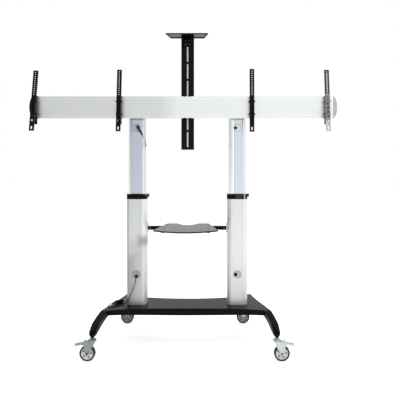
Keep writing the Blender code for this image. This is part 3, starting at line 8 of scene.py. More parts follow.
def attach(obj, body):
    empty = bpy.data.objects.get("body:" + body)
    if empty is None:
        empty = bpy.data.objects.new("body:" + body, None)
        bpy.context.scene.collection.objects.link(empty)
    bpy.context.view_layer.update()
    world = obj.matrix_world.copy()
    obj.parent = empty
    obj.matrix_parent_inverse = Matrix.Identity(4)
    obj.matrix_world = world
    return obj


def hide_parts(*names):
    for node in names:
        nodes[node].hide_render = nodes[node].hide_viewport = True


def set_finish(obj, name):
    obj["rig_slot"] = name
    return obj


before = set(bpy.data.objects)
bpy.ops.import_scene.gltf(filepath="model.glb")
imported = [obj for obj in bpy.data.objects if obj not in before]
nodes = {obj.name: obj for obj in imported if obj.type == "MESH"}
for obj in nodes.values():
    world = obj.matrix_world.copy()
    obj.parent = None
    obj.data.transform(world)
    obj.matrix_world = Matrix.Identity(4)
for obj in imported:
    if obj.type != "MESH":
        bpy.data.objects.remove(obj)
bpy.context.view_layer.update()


# Studio: a level camera in front of the stand and a little to its right, a pale floor,
# and soft even light that is a little brighter from the right, as on the photographed metal.

camera_data = bpy.data.cameras.new("camera")
camera_data.lens = 43.65
camera_data.sensor_width = 36
camera_data.shift_x = -0.0225
camera_data.shift_y = -0.10
camera_data.clip_end = 60
camera = bpy.data.objects.new("camera", camera_data)
camera.location = (0.178, -3.448, 1.278)
camera.rotation_euler = (math.radians(90), 0, 0)
bpy.context.scene.collection.objects.link(camera)
bpy.context.scene.camera = camera
bpy.context.scene.view_settings.view_transform = 'Standard'

# The studio's grey from the far left (0) to the far right (1).
SIDE_LIGHT = (
    (0.05, 0.32), (0.33, 0.50), (0.45, 0.545), (0.505, 0.66),
    (0.64, 0.68), (0.74, 0.57), (0.83, 0.60), (0.95, 1.0),
)
STUDIO_POWER = 1.75
FLOOR_SIZE = 24
FLOOR_GLOW = 0.44


def add_node(tree, kind, **inputs):
    """A shader node with its unlinked inputs set by name."""
    node = tree.nodes.new(kind)
    for key, value in inputs.items():
        node.inputs[key.replace("_", " ")].default_value = value
    return node


def combine(tree, operation, first, second):
    """A Math node over two values, the second one a socket or a number."""
    node = tree.nodes.new("ShaderNodeMath")
    node.operation = operation
    tree.links.new(first, node.inputs[0])
    if isinstance(second, float):
        node.inputs[1].default_value = second
    else:
        tree.links.new(second, node.inputs[1])
    return node.outputs[0]


def bounced(tree, path):
    """Whether a ray comes by a mirroring or a clear surface."""
    return combine(tree, 'MAXIMUM', path.outputs["Is Glossy Ray"],
                   path.outputs["Is Transmission Ray"])


def build_world():
    """Grey light on the stand, and white for the camera and for what is mirrored from behind."""
    world = bpy.data.worlds.new("studio")
    bpy.context.scene.world = world
    world.use_nodes = True
    tree = world.node_tree
    tree.nodes.clear()
    out = tree.nodes.new("ShaderNodeOutputWorld")
    place = tree.nodes.new("ShaderNodeTexCoord")
    parts = tree.nodes.new("ShaderNodeSeparateXYZ")
    tree.links.new(place.outputs["Generated"], parts.inputs[0])
    across = add_node(tree, "ShaderNodeMapRange", From_Min=-1.0, From_Max=1.0)
    tree.links.new(parts.outputs["X"], across.inputs["Value"])
    side = tree.nodes.new("ShaderNodeValToRGB")
    ramp = side.color_ramp
    ramp.interpolation = 'EASE'
    for stop, (spot, level) in zip(ramp.elements, (SIDE_LIGHT[0], SIDE_LIGHT[-1])):
        stop.position = spot
        stop.color = (level, level, level, 1)
    for spot, level in SIDE_LIGHT[1:-1]:
        ramp.elements.new(spot).color = (level, level, level, 1)
    tree.links.new(across.outputs["Result"], side.inputs["Fac"])
    studio = add_node(tree, "ShaderNodeBackground", Color=(0.98, 0.99, 1.0, 1))
    strength = combine(tree, 'MULTIPLY', side.outputs["Color"], STUDIO_POWER)
    tree.links.new(strength, studio.inputs["Strength"])
    white = add_node(tree, "ShaderNodeBackground", Color=(1, 1, 1, 1), Strength=1.0)
    path = tree.nodes.new("ShaderNodeLightPath")
    behind = add_node(tree, "ShaderNodeMapRange", From_Min=-0.1, From_Max=0.3)
    tree.links.new(parts.outputs["Y"], behind.inputs["Value"])
    mirrored = combine(tree, 'MULTIPLY', bounced(tree, path), behind.outputs["Result"])
    seen = combine(tree, 'MAXIMUM', path.outputs["Is Camera Ray"], mirrored)
    mix = tree.nodes.new("ShaderNodeMixShader")
    tree.links.new(seen, mix.inputs["Fac"])
    tree.links.new(studio.outputs[0], mix.inputs[1])
    tree.links.new(white.outputs[0], mix.inputs[2])
    tree.links.new(mix.outputs[0], out.inputs["Surface"])


def add_lamp(name, place, target, size, power, mirrored=False):
    lamp = bpy.data.lights.new(name, 'AREA')
    lamp.shape = 'RECTANGLE'
    lamp.size, lamp.size_y = size
    lamp.energy = power
    holder = bpy.data.objects.new(name, lamp)
    holder.location = place
    holder.rotation_euler = (Vector(target) - Vector(place)).to_track_quat('-Z', 'Y').to_euler()
    holder.visible_glossy = mirrored
    bpy.context.scene.collection.objects.link(holder)


def build_floor():
    """A pale floor that takes the stand's shadow and glows where it is seen or mirrored."""
    bpy.ops.object.select_all(action='DESELECT')
    bpy.ops.mesh.primitive_plane_add(size=FLOOR_SIZE, location=(0, 2, 0))
    floor = bpy.context.object
    floor.name = "floor"
    material = bpy.data.materials.new("pale_floor")
    material.use_nodes = True
    tree = material.node_tree
    tree.nodes.clear()
    out = tree.nodes.new("ShaderNodeOutputMaterial")
    paint = add_node(tree, "ShaderNodeBsdfDiffuse", Color=(0.80, 0.80, 0.80, 1))
    path = tree.nodes.new("ShaderNodeLightPath")
    seen = combine(tree, 'MAXIMUM', path.outputs["Is Camera Ray"], bounced(tree, path))
    glow = add_node(tree, "ShaderNodeEmission", Color=(1, 1, 1, 1))
    level = add_node(tree, "ShaderNodeMapRange", To_Max=FLOOR_GLOW)
    tree.links.new(seen, level.inputs["Value"])
    tree.links.new(level.outputs["Result"], glow.inputs["Strength"])
    both = tree.nodes.new("ShaderNodeAddShader")
    tree.links.new(paint.outputs[0], both.inputs[0])
    tree.links.new(glow.outputs[0], both.inputs[1])
    tree.links.new(both.outputs[0], out.inputs["Surface"])
    floor.data.materials.append(material)


build_world()
add_lamp("key_lamp", (2.6, -3.6, 3.6), (0, 0, 1.0), (2.6, 2.6), 70)
add_lamp("fill_lamp", (-3.2, -2.8, 3.0), (0, 0, 1.0), (2.4, 2.4), 24)
add_lamp("top_lamp", (0, 0.8, 4.6), (0, 0, 0), (3.4, 2.4), 55, mirrored=True)
build_floor()


# Leads: a black mains cord that comes out of the lower left cable cover and lies on the base, and
# a thin grey signal lead that hangs from the upper left cover. Both have moulded ends.

CART_X = 0.023
COLUMN_X = {"left": CART_X - 0.354, "right": CART_X + 0.354}
COLUMN_Y = 0.0075
UPPER_DEPTH = 0.092
BASE_TOP = 0.262
GAP = 0.0003
LOWER_CAP_Z = 0.477
UPPER_CAP_Z = 1.503
CAP_HOLE_OFFSET = 0.012
CAP_TURNS = {
    ("lower", "left"): -90, ("lower", "right"): 180,
    ("upper", "left"): 40, ("upper", "right"): 180,
}
CORD_DIAMETER = 0.005
CORD_LIE = BASE_TOP + GAP + CORD_DIAMETER / 2
SIGNAL_DIAMETER = 0.006
PLUG_RADIUS = 0.0125
PLUG_BOOT = 0.025
PLUG_BODY = 0.070
PIN_RADIUS = 0.0027
PIN_LENGTH = 0.0185
PIN_MIDDLE = 0.0098
PIN_SPREAD = 0.0065


def smooth_route(points, spacing):
    """Points at even spacing on a smooth curve through the route points."""
    points = [Vector(point) for point in points]
    padded = [2 * points[0] - points[1], *points, 2 * points[-1] - points[-2]]
    fine = [points[0]]
    for a, b, c, d in zip(padded, padded[1:], padded[2:], padded[3:]):
        for k in range(1, 25):
            t = k / 24
            bend = (2 * a - 5 * b + 4 * c - d) * t * t + (3 * b - a - 3 * c + d) * t ** 3
            fine.append((2 * b + (c - a) * t + bend) / 2)
    length = sum((q - p).length for p, q in zip(fine, fine[1:]))
    count = max(2, round(length / spacing))
    route = [fine[0]]
    target = length / count
    walked = 0.0
    for p, q in zip(fine, fine[1:]):
        step = (q - p).length
        while walked + step >= target and len(route) < count:
            route.append(p.lerp(q, (target - walked) / step))
            target += length / count
        walked += step
    route.append(fine[-1])
    return route


def begin_group(name, inputs, outputs):
    """A shader node group with named sockets, its input node and its output node."""
    group = bpy.data.node_groups.new(name, 'ShaderNodeTree')
    for in_out, sockets in (('INPUT', inputs), ('OUTPUT', outputs)):
        for label, kind in sockets.items():
            group.interface.new_socket(label, in_out=in_out, socket_type='NodeSocket' + kind)
    return group, group.nodes.new("NodeGroupInput"), group.nodes.new("NodeGroupOutput")


def edge_wear_group():
    """Edge wear: a mask that is 1 on outer corners, broken up by noise."""
    group, enter, leave = begin_group(
        "edge_wear", {"Radius": "Float", "Break Up": "Float"}, {"Mask": "Float"})
    rounded = group.nodes.new("ShaderNodeBevel")
    rounded.samples = 4
    group.links.new(enter.outputs["Radius"], rounded.inputs["Radius"])
    shape = group.nodes.new("ShaderNodeNewGeometry")
    turn = group.nodes.new("ShaderNodeVectorMath")
    turn.operation = 'DOT_PRODUCT'
    group.links.new(rounded.outputs[0], turn.inputs[0])
    group.links.new(shape.outputs["Normal"], turn.inputs[1])
    bend = add_node(group, "ShaderNodeMapRange", From_Min=0.995, From_Max=0.86)
    group.links.new(turn.outputs["Value"], bend.inputs["Value"])
    place = group.nodes.new("ShaderNodeTexCoord")
    noise = add_node(group, "ShaderNodeTexNoise", Detail=3.0, Roughness=0.6)
    group.links.new(enter.outputs["Break Up"], noise.inputs["Scale"])
    group.links.new(place.outputs["Object"], noise.inputs["Vector"])
    patch = add_node(group, "ShaderNodeMapRange", From_Min=0.38, From_Max=0.62)
    group.links.new(noise.outputs["Fac"], patch.inputs["Value"])
    both = combine(group, 'MULTIPLY', bend.outputs["Result"], patch.outputs["Result"])
    group.links.new(both, leave.inputs["Mask"])
    return group


def mottle_group():
    """Mottle: two scales of noise, stretched along an axis, as a colour share and as a height."""
    group, enter, leave = begin_group(
        "mottle", {"Stretch": "Vector", "Broad Scale": "Float", "Fine Scale": "Float"},
        {"Broad": "Float", "Fine": "Float"})
    place = group.nodes.new("ShaderNodeTexCoord")
    stretch = group.nodes.new("ShaderNodeVectorMath")
    stretch.operation = 'MULTIPLY'
    group.links.new(place.outputs["Object"], stretch.inputs[0])
    group.links.new(enter.outputs["Stretch"], stretch.inputs[1])
    for label, detail in (("Broad", 2.0), ("Fine", 3.0)):
        noise = add_node(group, "ShaderNodeTexNoise", Detail=detail, Roughness=0.55)
        group.links.new(stretch.outputs[0], noise.inputs["Vector"])
        group.links.new(enter.outputs[label + " Scale"], noise.inputs["Scale"])
        group.links.new(noise.outputs["Fac"], leave.inputs[label])
    return group


edge_wear = edge_wear_group()
mottle = mottle_group()


def finish_material(name, colours, roughness, metallic, scales, bump, wear=None,
                    stretch=(1, 1, 1), **sockets):
    """A Principled material: two tones mottled together, roughness that varies, a fine surface
    relief, and optionally a worn colour on the edges (its radius, noise scale and colour)."""
    material = bpy.data.materials.new(name)
    material.use_nodes = True
    tree = material.node_tree
    shader = tree.nodes["Principled BSDF"]
    shader.inputs["Metallic"].default_value = metallic
    for key, value in sockets.items():
        shader.inputs[key.replace("_", " ")].default_value = value
    pattern = tree.nodes.new("ShaderNodeGroup")
    pattern.node_tree = mottle
    pattern.inputs["Stretch"].default_value = stretch
    pattern.inputs["Broad Scale"].default_value = scales[0]
    pattern.inputs["Fine Scale"].default_value = scales[1]
    tone = tree.nodes.new("ShaderNodeMix")
    tone.data_type = 'RGBA'
    tone.inputs[6].default_value = (*colours[0], 1)
    tone.inputs[7].default_value = (*colours[1], 1)
    share = add_node(tree, "ShaderNodeMapRange", From_Min=0.3, From_Max=0.7)
    tree.links.new(pattern.outputs["Broad"], share.inputs["Value"])
    tree.links.new(share.outputs["Result"], tone.inputs["Factor"])
    colour = tone.outputs[2]
    gloss = add_node(tree, "ShaderNodeMapRange", From_Min=0.25, From_Max=0.75,
                     To_Min=roughness[0], To_Max=roughness[1])
    tree.links.new(pattern.outputs["Fine"], gloss.inputs["Value"])
    if wear:
        edges = tree.nodes.new("ShaderNodeGroup")
        edges.node_tree = edge_wear
        edges.inputs["Radius"].default_value = wear[0]
        edges.inputs["Break Up"].default_value = wear[1]
        worn = tree.nodes.new("ShaderNodeMix")
        worn.data_type = 'RGBA'
        worn.inputs[7].default_value = (*wear[2], 1)
        tree.links.new(colour, worn.inputs[6])
        tree.links.new(edges.outputs["Mask"], worn.inputs["Factor"])
        colour = worn.outputs[2]
    tree.links.new(colour, shader.inputs["Base Color"])
    tree.links.new(gloss.outputs["Result"], shader.inputs["Roughness"])
    relief = add_node(tree, "ShaderNodeBump", Strength=bump[0], Distance=bump[1])
    tree.links.new(pattern.outputs["Fine"], relief.inputs["Height"])
    tree.links.new(relief.outputs["Normal"], shader.inputs["Normal"])
    return material


def dress(material, *names):
    """Gives CAD nodes a finished material in every slot."""
    for name in names:
        piece = nodes[name]
        if not piece.material_slots:
            piece.data.materials.append(material)
        for slot in piece.material_slots:
            slot.material = material


def make_cord(name, route, diameter, material, lowest=0.0):
    """A round cord along a route, and its length."""
    line = bpy.data.curves.new(name, 'CURVE')
    line.dimensions = '3D'
    line.bevel_depth = diameter / 2
    line.bevel_resolution = 4
    line.use_fill_caps = True
    spline = line.splines.new('POLY')
    spline.points.add(len(route) - 1)
    for spot, point in zip(spline.points, route):
        spot.co = (point.x, point.y, max(point.z, lowest), 1.0)
    line.materials.append(material)
    cord = bpy.data.objects.new(name, line)
    bpy.context.scene.collection.objects.link(cord)
    length = 0.0
    for p, q in zip(spline.points, spline.points[1:]):
        length += (Vector(q.co[:3]) - Vector(p.co[:3])).length
    return cord, length


grey_sheath = finish_material(
    "grey_sheath", ((0.20, 0.20, 0.19), (0.26, 0.26, 0.25)), (0.42, 0.58), 0.0,
    (45, 900), (0.15, 0.0004), Specular_IOR_Level=0.45)
black_sheath = finish_material(
    "black_sheath", ((0.016, 0.016, 0.016), (0.028, 0.028, 0.027)), (0.45, 0.62), 0.0,
    (45, 900), (0.20, 0.0004), Specular_IOR_Level=0.35)
moulded_black = finish_material(
    "moulded_black", ((0.003, 0.003, 0.0033), (0.006, 0.006, 0.0065)), (0.30, 0.45), 0.0,
    (60, 1400), (0.25, 0.0003), (0.0008, 220, (0.030, 0.030, 0.031)), Specular_IOR_Level=0.20)
moulded_grey = finish_material(
    "moulded_grey", ((0.13, 0.13, 0.12), (0.17, 0.17, 0.16)), (0.35, 0.50), 0.0,
    (60, 1400), (0.20, 0.0003))
dress(moulded_black, "power_plug", "upper_connector")
dress(moulded_grey, "signal_plug")

# The mains cord from its hole to its plug, with x from the middle of the stand.
mains_route = [
    (-0.354, -0.041, LOWER_CAP_Z - 0.0075),
    (-0.354, -0.053, LOWER_CAP_Z - 0.012),
    (-0.3545, -0.065, LOWER_CAP_Z - 0.022),
    (-0.3565, -0.073, LOWER_CAP_Z - 0.038),
    (-0.3620, -0.077, 0.415),
    (-0.3730, -0.077, 0.383),
    (-0.3870, -0.073, 0.350),
    (-0.4020, -0.066, 0.318),
    (-0.4180, -0.058, 0.290),
    (-0.4370, -0.0525, CORD_LIE + 0.006),
    (-0.4580, -0.056, CORD_LIE),
    (-0.4780, -0.073, CORD_LIE),
    (-0.4940, -0.095, CORD_LIE),
    (-0.5110, -0.1110, CORD_LIE),
    (-0.5320, -0.1085, CORD_LIE),
    (-0.5455, -0.0925, CORD_LIE + 0.002),
]
mains_route = [Vector((CART_X + x, y, z)) for x, y, z in mains_route]
plug_start = Vector((CART_X - 0.525, -0.048, BASE_TOP + GAP + PLUG_RADIUS))
plug_heading = Vector((0.667, 0.745, 0)).normalized()
for back in (3 * CORD_DIAMETER, 1.5 * CORD_DIAMETER, 0):
    mains_route.append(plug_start - plug_heading * back)
mains_cord, mains_length = make_cord(
    "mains_cord", smooth_route(mains_route, 2.5 * CORD_DIAMETER), CORD_DIAMETER,
    black_sheath, CORD_LIE)
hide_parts("power_cord")
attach(mains_cord, "frame")
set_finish(mains_cord, "black_cable")

upper_cap_turn = math.radians(CAP_TURNS["upper", "left"])
lead_out = Vector((
    COLUMN_X["left"] + CAP_HOLE_OFFSET * math.cos(upper_cap_turn),
    COLUMN_Y - UPPER_DEPTH / 2,
    UPPER_CAP_Z + CAP_HOLE_OFFSET * math.sin(upper_cap_turn)))
boot_end = lead_out + Vector((0.036, -0.023, -0.060))
boot_heading = Vector((0.007, 0.001, -0.012)).normalized()
signal_start = boot_end + boot_heading * GAP
signal_route = [signal_start, signal_start + boot_heading * 0.010]
for drop in ((0.014, 0.0, -0.026), (0.018, 0.0005, -0.044), (0.020, 0.0005, -0.058)):
    signal_route.append(signal_start + Vector(drop))
signal_lead, signal_length = make_cord(
    "signal_lead_sheath", smooth_route(signal_route, 0.004), SIGNAL_DIAMETER, grey_sheath)
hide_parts("signal_lead")
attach(signal_lead, "lift")
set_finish(signal_lead, "grey_cable")


def begin(kind, **how):
    """Adds one primitive with nothing else selected."""
    bpy.ops.object.select_all(action='DESELECT')
    getattr(bpy.ops.mesh, kind)(**how)
    return bpy.context.object


def edit():
    bpy.ops.object.mode_set(mode='EDIT')


def pick_faces(test):
    """Selects the faces that pass the test, in edit mode."""
    bpy.ops.mesh.select_mode(type='FACE')
    bpy.ops.mesh.select_all(action='DESELECT')
    mesh = bpy.context.object.data
    shape = bmesh.from_edit_mesh(mesh)
    for face in shape.faces:
        face.select = test(face)
    shape.select_flush_mode()
    bmesh.update_edit_mesh(mesh)


def pick_all():
    bpy.ops.mesh.select_all(action='SELECT')


def settle(piece, name, material, slot, body=None):
    """Applies a new piece's modifiers and place, names it, finishes it, and lets it ride."""
    bpy.ops.object.mode_set(mode='OBJECT')
    bpy.ops.object.select_all(action='DESELECT')
    piece.select_set(True)
    bpy.context.view_layer.objects.active = piece
    for step in list(piece.modifiers):
        bpy.ops.object.modifier_apply(modifier=step.name)
    bpy.ops.object.transform_apply(location=True, rotation=True, scale=True)
    bpy.ops.object.shade_smooth_by_angle(angle=math.radians(35))
    piece.name = name
    piece.data.name = name
    piece.data.materials.clear()
    piece.data.materials.append(material)
    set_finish(piece, slot)
    if body:
        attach(piece, body)
    return piece


def copy_to(piece, name, move, body):
    """A copy with its own mesh, moved by a matrix, that rides on a body."""
    twin = piece.copy()
    twin.data = piece.data.copy()
    twin.name = name
    twin.data.name = name
    twin.parent = None
    bpy.context.scene.collection.objects.link(twin)
    twin.data.transform(move)
    twin.matrix_world = Matrix.Identity(4)
    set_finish(twin, piece["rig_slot"])
    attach(twin, body)
    return twin


def seat_at(place, facing):
    """The matrix that puts a piece's origin at a place and turns its +Z to a direction."""
    turn = Vector((0, 0, 1)).rotation_difference(Vector(facing))
    return Matrix.Translation(place) @ turn.to_matrix().to_4x4()


bright_nickel = finish_material(
    "bright_nickel", ((0.62, 0.62, 0.60), (0.72, 0.72, 0.70)), (0.18, 0.30), 1.0,
    (120, 1500), (0.08, 0.0002))
pin = begin("primitive_cylinder_add", vertices=20, radius=PIN_RADIUS, depth=PIN_LENGTH)
edit()
pick_faces(lambda face: face.normal.z > 0.9)
bpy.ops.mesh.bevel(offset=0.0012, segments=3)
settle(pin, "plug_pin_left", bright_nickel, "zinc_plate")
pin_root = plug_start + plug_heading * (GAP + PLUG_BOOT + PLUG_BODY + PIN_MIDDLE)
pin_side = plug_heading.cross(Vector((0, 0, 1))) * PIN_SPREAD
copy_to(pin, "plug_pin_right", seat_at(pin_root + pin_side, plug_heading), "frame")
pin.data.transform(seat_at(pin_root - pin_side, plug_heading))
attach(pin, "frame")


# Base frame: one welded and powder coated shell of folded sheet, open below. Each column is
# bolted to it through a plate under its top, and one screw holds each moulded leg end.

FOOT_PLATE_SIZE = (0.118, 0.094, 0.005)
FOOT_PLATE_Z = 0.2552
FOOT_BOLT_X = 0.038
FOOT_BOLT_Y = 0.028
FOOT_BOLT_Z = 0.2519
WASHER_THICKNESS = 0.0012
# Each leg screw's place, with the slope of the leg there in degrees.
LEG_SCREWS = (
    ("front_left", CART_X - 0.5775, -0.290, 0.2244, -20.0),
    ("front_right", CART_X + 0.5775, -0.290, 0.2244, -20.0),
    ("rear_left", CART_X - 0.4469, 0.290, 0.2361, 28.4),
    ("rear_right", CART_X + 0.4469, 0.290, 0.2361, 28.4),
)

powder_coat = finish_material(
    "powder_coat", ((0.0015, 0.0015, 0.0018), (0.0030, 0.0028, 0.0030)), (0.16, 0.24), 0.0,
    (30, 1100), (0.10, 0.0003), (0.0010, 160, (0.010, 0.010, 0.011)), Specular_IOR_Level=0.055)
dress(powder_coat, "base_frame")
dark_zinc = finish_material(
    "dark_zinc", ((0.10, 0.10, 0.105), (0.16, 0.16, 0.165)), (0.30, 0.45), 0.9,
    (90, 1300), (0.12, 0.0003), (0.0006, 300, (0.42, 0.42, 0.43)))


def begin_box(centre, size):
    """A box of a given size, with its scale applied."""
    box = begin("primitive_cube_add", size=1, location=centre)
    box.scale = size
    bpy.ops.object.transform_apply(location=True, rotation=True, scale=True)
    return box


def pick_edges_along(axis):
    """Selects the edges of a box that run along an axis, in edit mode."""
    bpy.ops.mesh.select_mode(type='EDGE')
    bpy.ops.mesh.select_all(action='DESELECT')
    mesh = bpy.context.object.data
    shape = bmesh.from_edit_mesh(mesh)
    for edge in shape.edges:
        start, end = edge.verts
        edge.select = abs(start.co[axis] - end.co[axis]) > 0.001
    bmesh.update_edit_mesh(mesh)


def model_bolt(name, across_flats, height, washer_radius, material, slot):
    """A hexagon head with a chamfered crown on a flat washer, its seat at the origin facing +Z."""
    radius = across_flats / math.sqrt(3)
    head = begin("primitive_cylinder_add", vertices=6, radius=radius, depth=height,
                 location=(0, 0, height / 2 + WASHER_THICKNESS))
    edit()
    pick_faces(lambda face: face.normal.z > 0.9)
    bpy.ops.mesh.inset(thickness=radius * 0.14, depth=0)
    bpy.ops.transform.translate(value=(0, 0, height * 0.10))
    bpy.ops.object.mode_set(mode='OBJECT')
    washer = begin("primitive_cylinder_add", vertices=24, radius=washer_radius,
                   depth=WASHER_THICKNESS, location=(0, 0, WASHER_THICKNESS / 2))
    edit()
    pick_faces(lambda face: face.normal.z > 0.9)
    bpy.ops.mesh.bevel(offset=0.0003, segments=1)
    bpy.ops.object.mode_set(mode='OBJECT')
    bpy.ops.object.select_all(action='DESELECT')
    washer.select_set(True)
    head.select_set(True)
    bpy.context.view_layer.objects.active = head
    bpy.ops.object.join()
    return settle(head, name, material, slot)


def remove_patterns(*pieces):
    """Takes away pieces that were only modelled to be copied."""
    for piece in pieces:
        bpy.data.objects.remove(piece, do_unlink=True)


def grid(u, v):
    """The four corners of a bolt pattern, u and v from its middle."""
    return (-u, -v), (u, -v), (-u, v), (u, v)


hex_m8 = model_bolt("hex_m8", 0.013, 0.0053, 0.009, dark_zinc, "zinc_plate")
plate = begin_box((0, 0, FOOT_PLATE_Z), FOOT_PLATE_SIZE)
edit()
pick_edges_along(2)
bpy.ops.mesh.bevel(offset=0.014, segments=5)
pick_faces(lambda face: face.normal.z < -0.9)
bpy.ops.mesh.inset(thickness=0.002, depth=0)
bpy.ops.transform.translate(value=(0, 0, -0.0008))
settle(plate, "column_foot_plate", dark_zinc, "zinc_plate")
for side, x in COLUMN_X.items():
    copy_to(plate, "column_foot_plate_" + side, Matrix.Translation((x, COLUMN_Y, 0)), "frame")
    for k, (u, v) in enumerate(grid(FOOT_BOLT_X, FOOT_BOLT_Y)):
        seat = seat_at((x + u, COLUMN_Y + v, FOOT_BOLT_Z), (0, 0, -1))
        copy_to(hex_m8, f"column_foot_bolt_{side}_{k + 1}", seat, "frame")

screw = begin("primitive_cylinder_add", vertices=24, radius=0.0048, depth=0.0016,
              location=(0, 0, 0.0008))
edit()
pick_faces(lambda face: face.normal.z > 0.9)
bpy.ops.mesh.bevel(offset=0.0007, segments=2)
pick_faces(lambda face: face.normal.z > 0.99 and abs(face.calc_center_median().x) < 0.001)
bpy.ops.mesh.inset(thickness=0.0016, depth=-0.0009)
settle(screw, "leg_screw", powder_coat, "zinc_plate")
for label, x, y, z, slope in LEG_SCREWS:
    lean = Matrix.Rotation(math.radians(-slope), 4, 'X')
    copy_to(screw, "leg_screw_" + label, Matrix.Translation((x, y, z)) @ lean, "frame")
remove_patterns(plate, screw, hex_m8)


# Leg ends: boots moulded in glass-filled nylon and pushed into the legs. Each holds the stem of
# one caster.

CORNERS = ("front_left", "front_right", "rear_left", "rear_right")
boot_nylon = finish_material(
    "boot_nylon", ((0.0008, 0.0008, 0.0010), (0.0016, 0.0016, 0.0018)), (0.22, 0.34), 0.0,
    (70, 1600), (0.25, 0.0004), (0.0012, 200, (0.010, 0.010, 0.011)), Specular_IOR_Level=0.04)
dress(boot_nylon, *["leg_foot_" + corner for corner in CORNERS])


# Casters: zinc plated pressed forks on ball races, 100 mm wheels with black rubber treads on
# ribbed cream nylon hubs. The two front ones have a brake pedal.

WHEEL_RADIUS = 0.050
CASTER_TRAIL = 0.031
AXLE_NUT_Y = 0.0225
RACE_SEAL_Z = 0.1325
RACE_BALLS_Z = 0.1285
RIB_COUNT = 10
RIB_CENTRE = (0, 0, 0.0232)
RIB_SIZE = (0.0022, 0.0042, 0.0172)
RIB_Y = -0.0105
RING_Y = -0.0086
POCKET_COUNT = 5
POCKET_CENTRE = (0.0062, -0.0102, 0.0255)
POCKET_SIZE = (0.0062, 0.0012, 0.0120)
BALL_COUNT = 14
BALL_RADIUS = 0.0028
BALL_CIRCLE = 0.0235
# Each caster's stem, and the side to which its wheel trails.
CASTERS = (
    ("front_left", CART_X - 0.5876, -0.359, -1),
    ("front_right", CART_X + 0.5876, -0.359, 1),
    ("rear_left", CART_X - 0.453, 0.359, -1),
    ("rear_right", CART_X + 0.453, 0.359, -1),
)


def painted_light_box_group():
    """Painted light and shade: blends a tint into a colour inside a box of object space with soft
    sides.
    """
    group, enter, leave = begin_group(
        "painted_light_box",
        {"Colour": "Color", "Tint": "Color", "Strength": "Float",
         "Centre": "Vector", "Half Size": "Vector", "Softness": "Float"},
        {"Colour": "Color"})
    place = group.nodes.new("ShaderNodeTexCoord")
    steps = []
    for operation in ('SUBTRACT', 'ABSOLUTE', 'SUBTRACT'):
        steps.append(group.nodes.new("ShaderNodeVectorMath"))
        steps[-1].operation = operation
    group.links.new(place.outputs["Object"], steps[0].inputs[0])
    group.links.new(enter.outputs["Centre"], steps[0].inputs[1])
    group.links.new(steps[0].outputs[0], steps[1].inputs[0])
    group.links.new(steps[1].outputs[0], steps[2].inputs[0])
    group.links.new(enter.outputs["Half Size"], steps[2].inputs[1])
    parts = group.nodes.new("ShaderNodeSeparateXYZ")
    group.links.new(steps[2].outputs[0], parts.inputs[0])
    outside = combine(group, 'MAXIMUM', parts.outputs["Y"], parts.outputs["Z"])
    outside = combine(group, 'MAXIMUM', parts.outputs["X"], outside)
    share = add_node(group, "ShaderNodeMapRange", From_Min=0.0, To_Max=0.0)
    group.links.new(outside, share.inputs["Value"])
    group.links.new(enter.outputs["Softness"], share.inputs["From Max"])
    group.links.new(enter.outputs["Strength"], share.inputs["To Min"])
    tone = group.nodes.new("ShaderNodeMix")
    tone.data_type = 'RGBA'
    group.links.new(share.outputs["Result"], tone.inputs["Factor"])
    group.links.new(enter.outputs["Colour"], tone.inputs[6])
    group.links.new(enter.outputs["Tint"], tone.inputs[7])
    group.links.new(tone.outputs[2], leave.inputs["Colour"])
    return group


painted_light_box = painted_light_box_group()


def paint_light_zone(material, tint, strength, soft=0.0008, **ranges):
    """Paints light and shade into a material: blends a tint inside a box given by object x, y or z
    ranges.
    """
    tree = material.node_tree
    base = tree.nodes["Principled BSDF"].inputs["Base Color"]
    box = tree.nodes.new("ShaderNodeGroup")
    box.node_tree = painted_light_box
    tree.links.new(base.links[0].from_socket, box.inputs["Colour"])
    spans = [ranges.get(axis, (-9.0, 9.0)) for axis in "xyz"]
    box.inputs["Tint"].default_value = (*tint, 1)
    box.inputs["Strength"].default_value = strength
    box.inputs["Centre"].default_value = [(start + end) / 2 for start, end in spans]
    box.inputs["Half Size"].default_value = [(end - start) / 2 for start, end in spans]
    box.inputs["Softness"].default_value = soft
    tree.links.new(box.outputs["Colour"], base)


def paint_light_line(material, axis, middle, half_width, tint, strength, **ranges):
    """A narrow painted zone across one axis, such as the shade in a groove."""
    ranges[axis] = (middle - half_width, middle + half_width)
    paint_light_zone(material, tint, strength, **ranges)


def grey(level):
    return level, level, level


def repeat_round(count, axis):
    """Repeats the whole mesh round the origin, in edit mode."""
    pick_all()
    bpy.ops.mesh.spin(steps=count, dupli=True, angle=2 * math.pi, center=(0, 0, 0), axis=axis)


zinc = finish_material(
    "zinc", ((0.42, 0.45, 0.465), (0.49, 0.52, 0.535)), (0.22, 0.38), 0.92,
    (55, 700), (0.10, 0.0003), (0.0010, 180, (0.85, 0.87, 0.88)))
# Painted shade: the zinc of the left casters is darker, as the studio is darker on that side.
paint_light_zone(zinc, (0.165, 0.21, 0.20), 0.9, 0.02, x=(-0.8, -0.4))
tread_rubber = finish_material(
    "tread_rubber", ((0.010, 0.010, 0.010), (0.022, 0.021, 0.020)), (0.62, 0.80), 0.0,
    (60, 1800), (0.35, 0.0004), (0.0015, 120, (0.05, 0.048, 0.045)))
cream_nylon = finish_material(
    "cream_nylon", ((0.62, 0.585, 0.55), (0.72, 0.69, 0.655)), (0.35, 0.50), 0.0,
    (40, 900), (0.12, 0.0003), (0.0008, 200, (0.50, 0.45, 0.40)),
    Subsurface_Weight=0.08, Subsurface_Scale=0.004)
# Painted shade: the hubs of the rear wheels, under the base, are darker.
paint_light_zone(cream_nylon, (0.24, 0.225, 0.21), 0.9, 0.02, y=(0.2, 0.6))
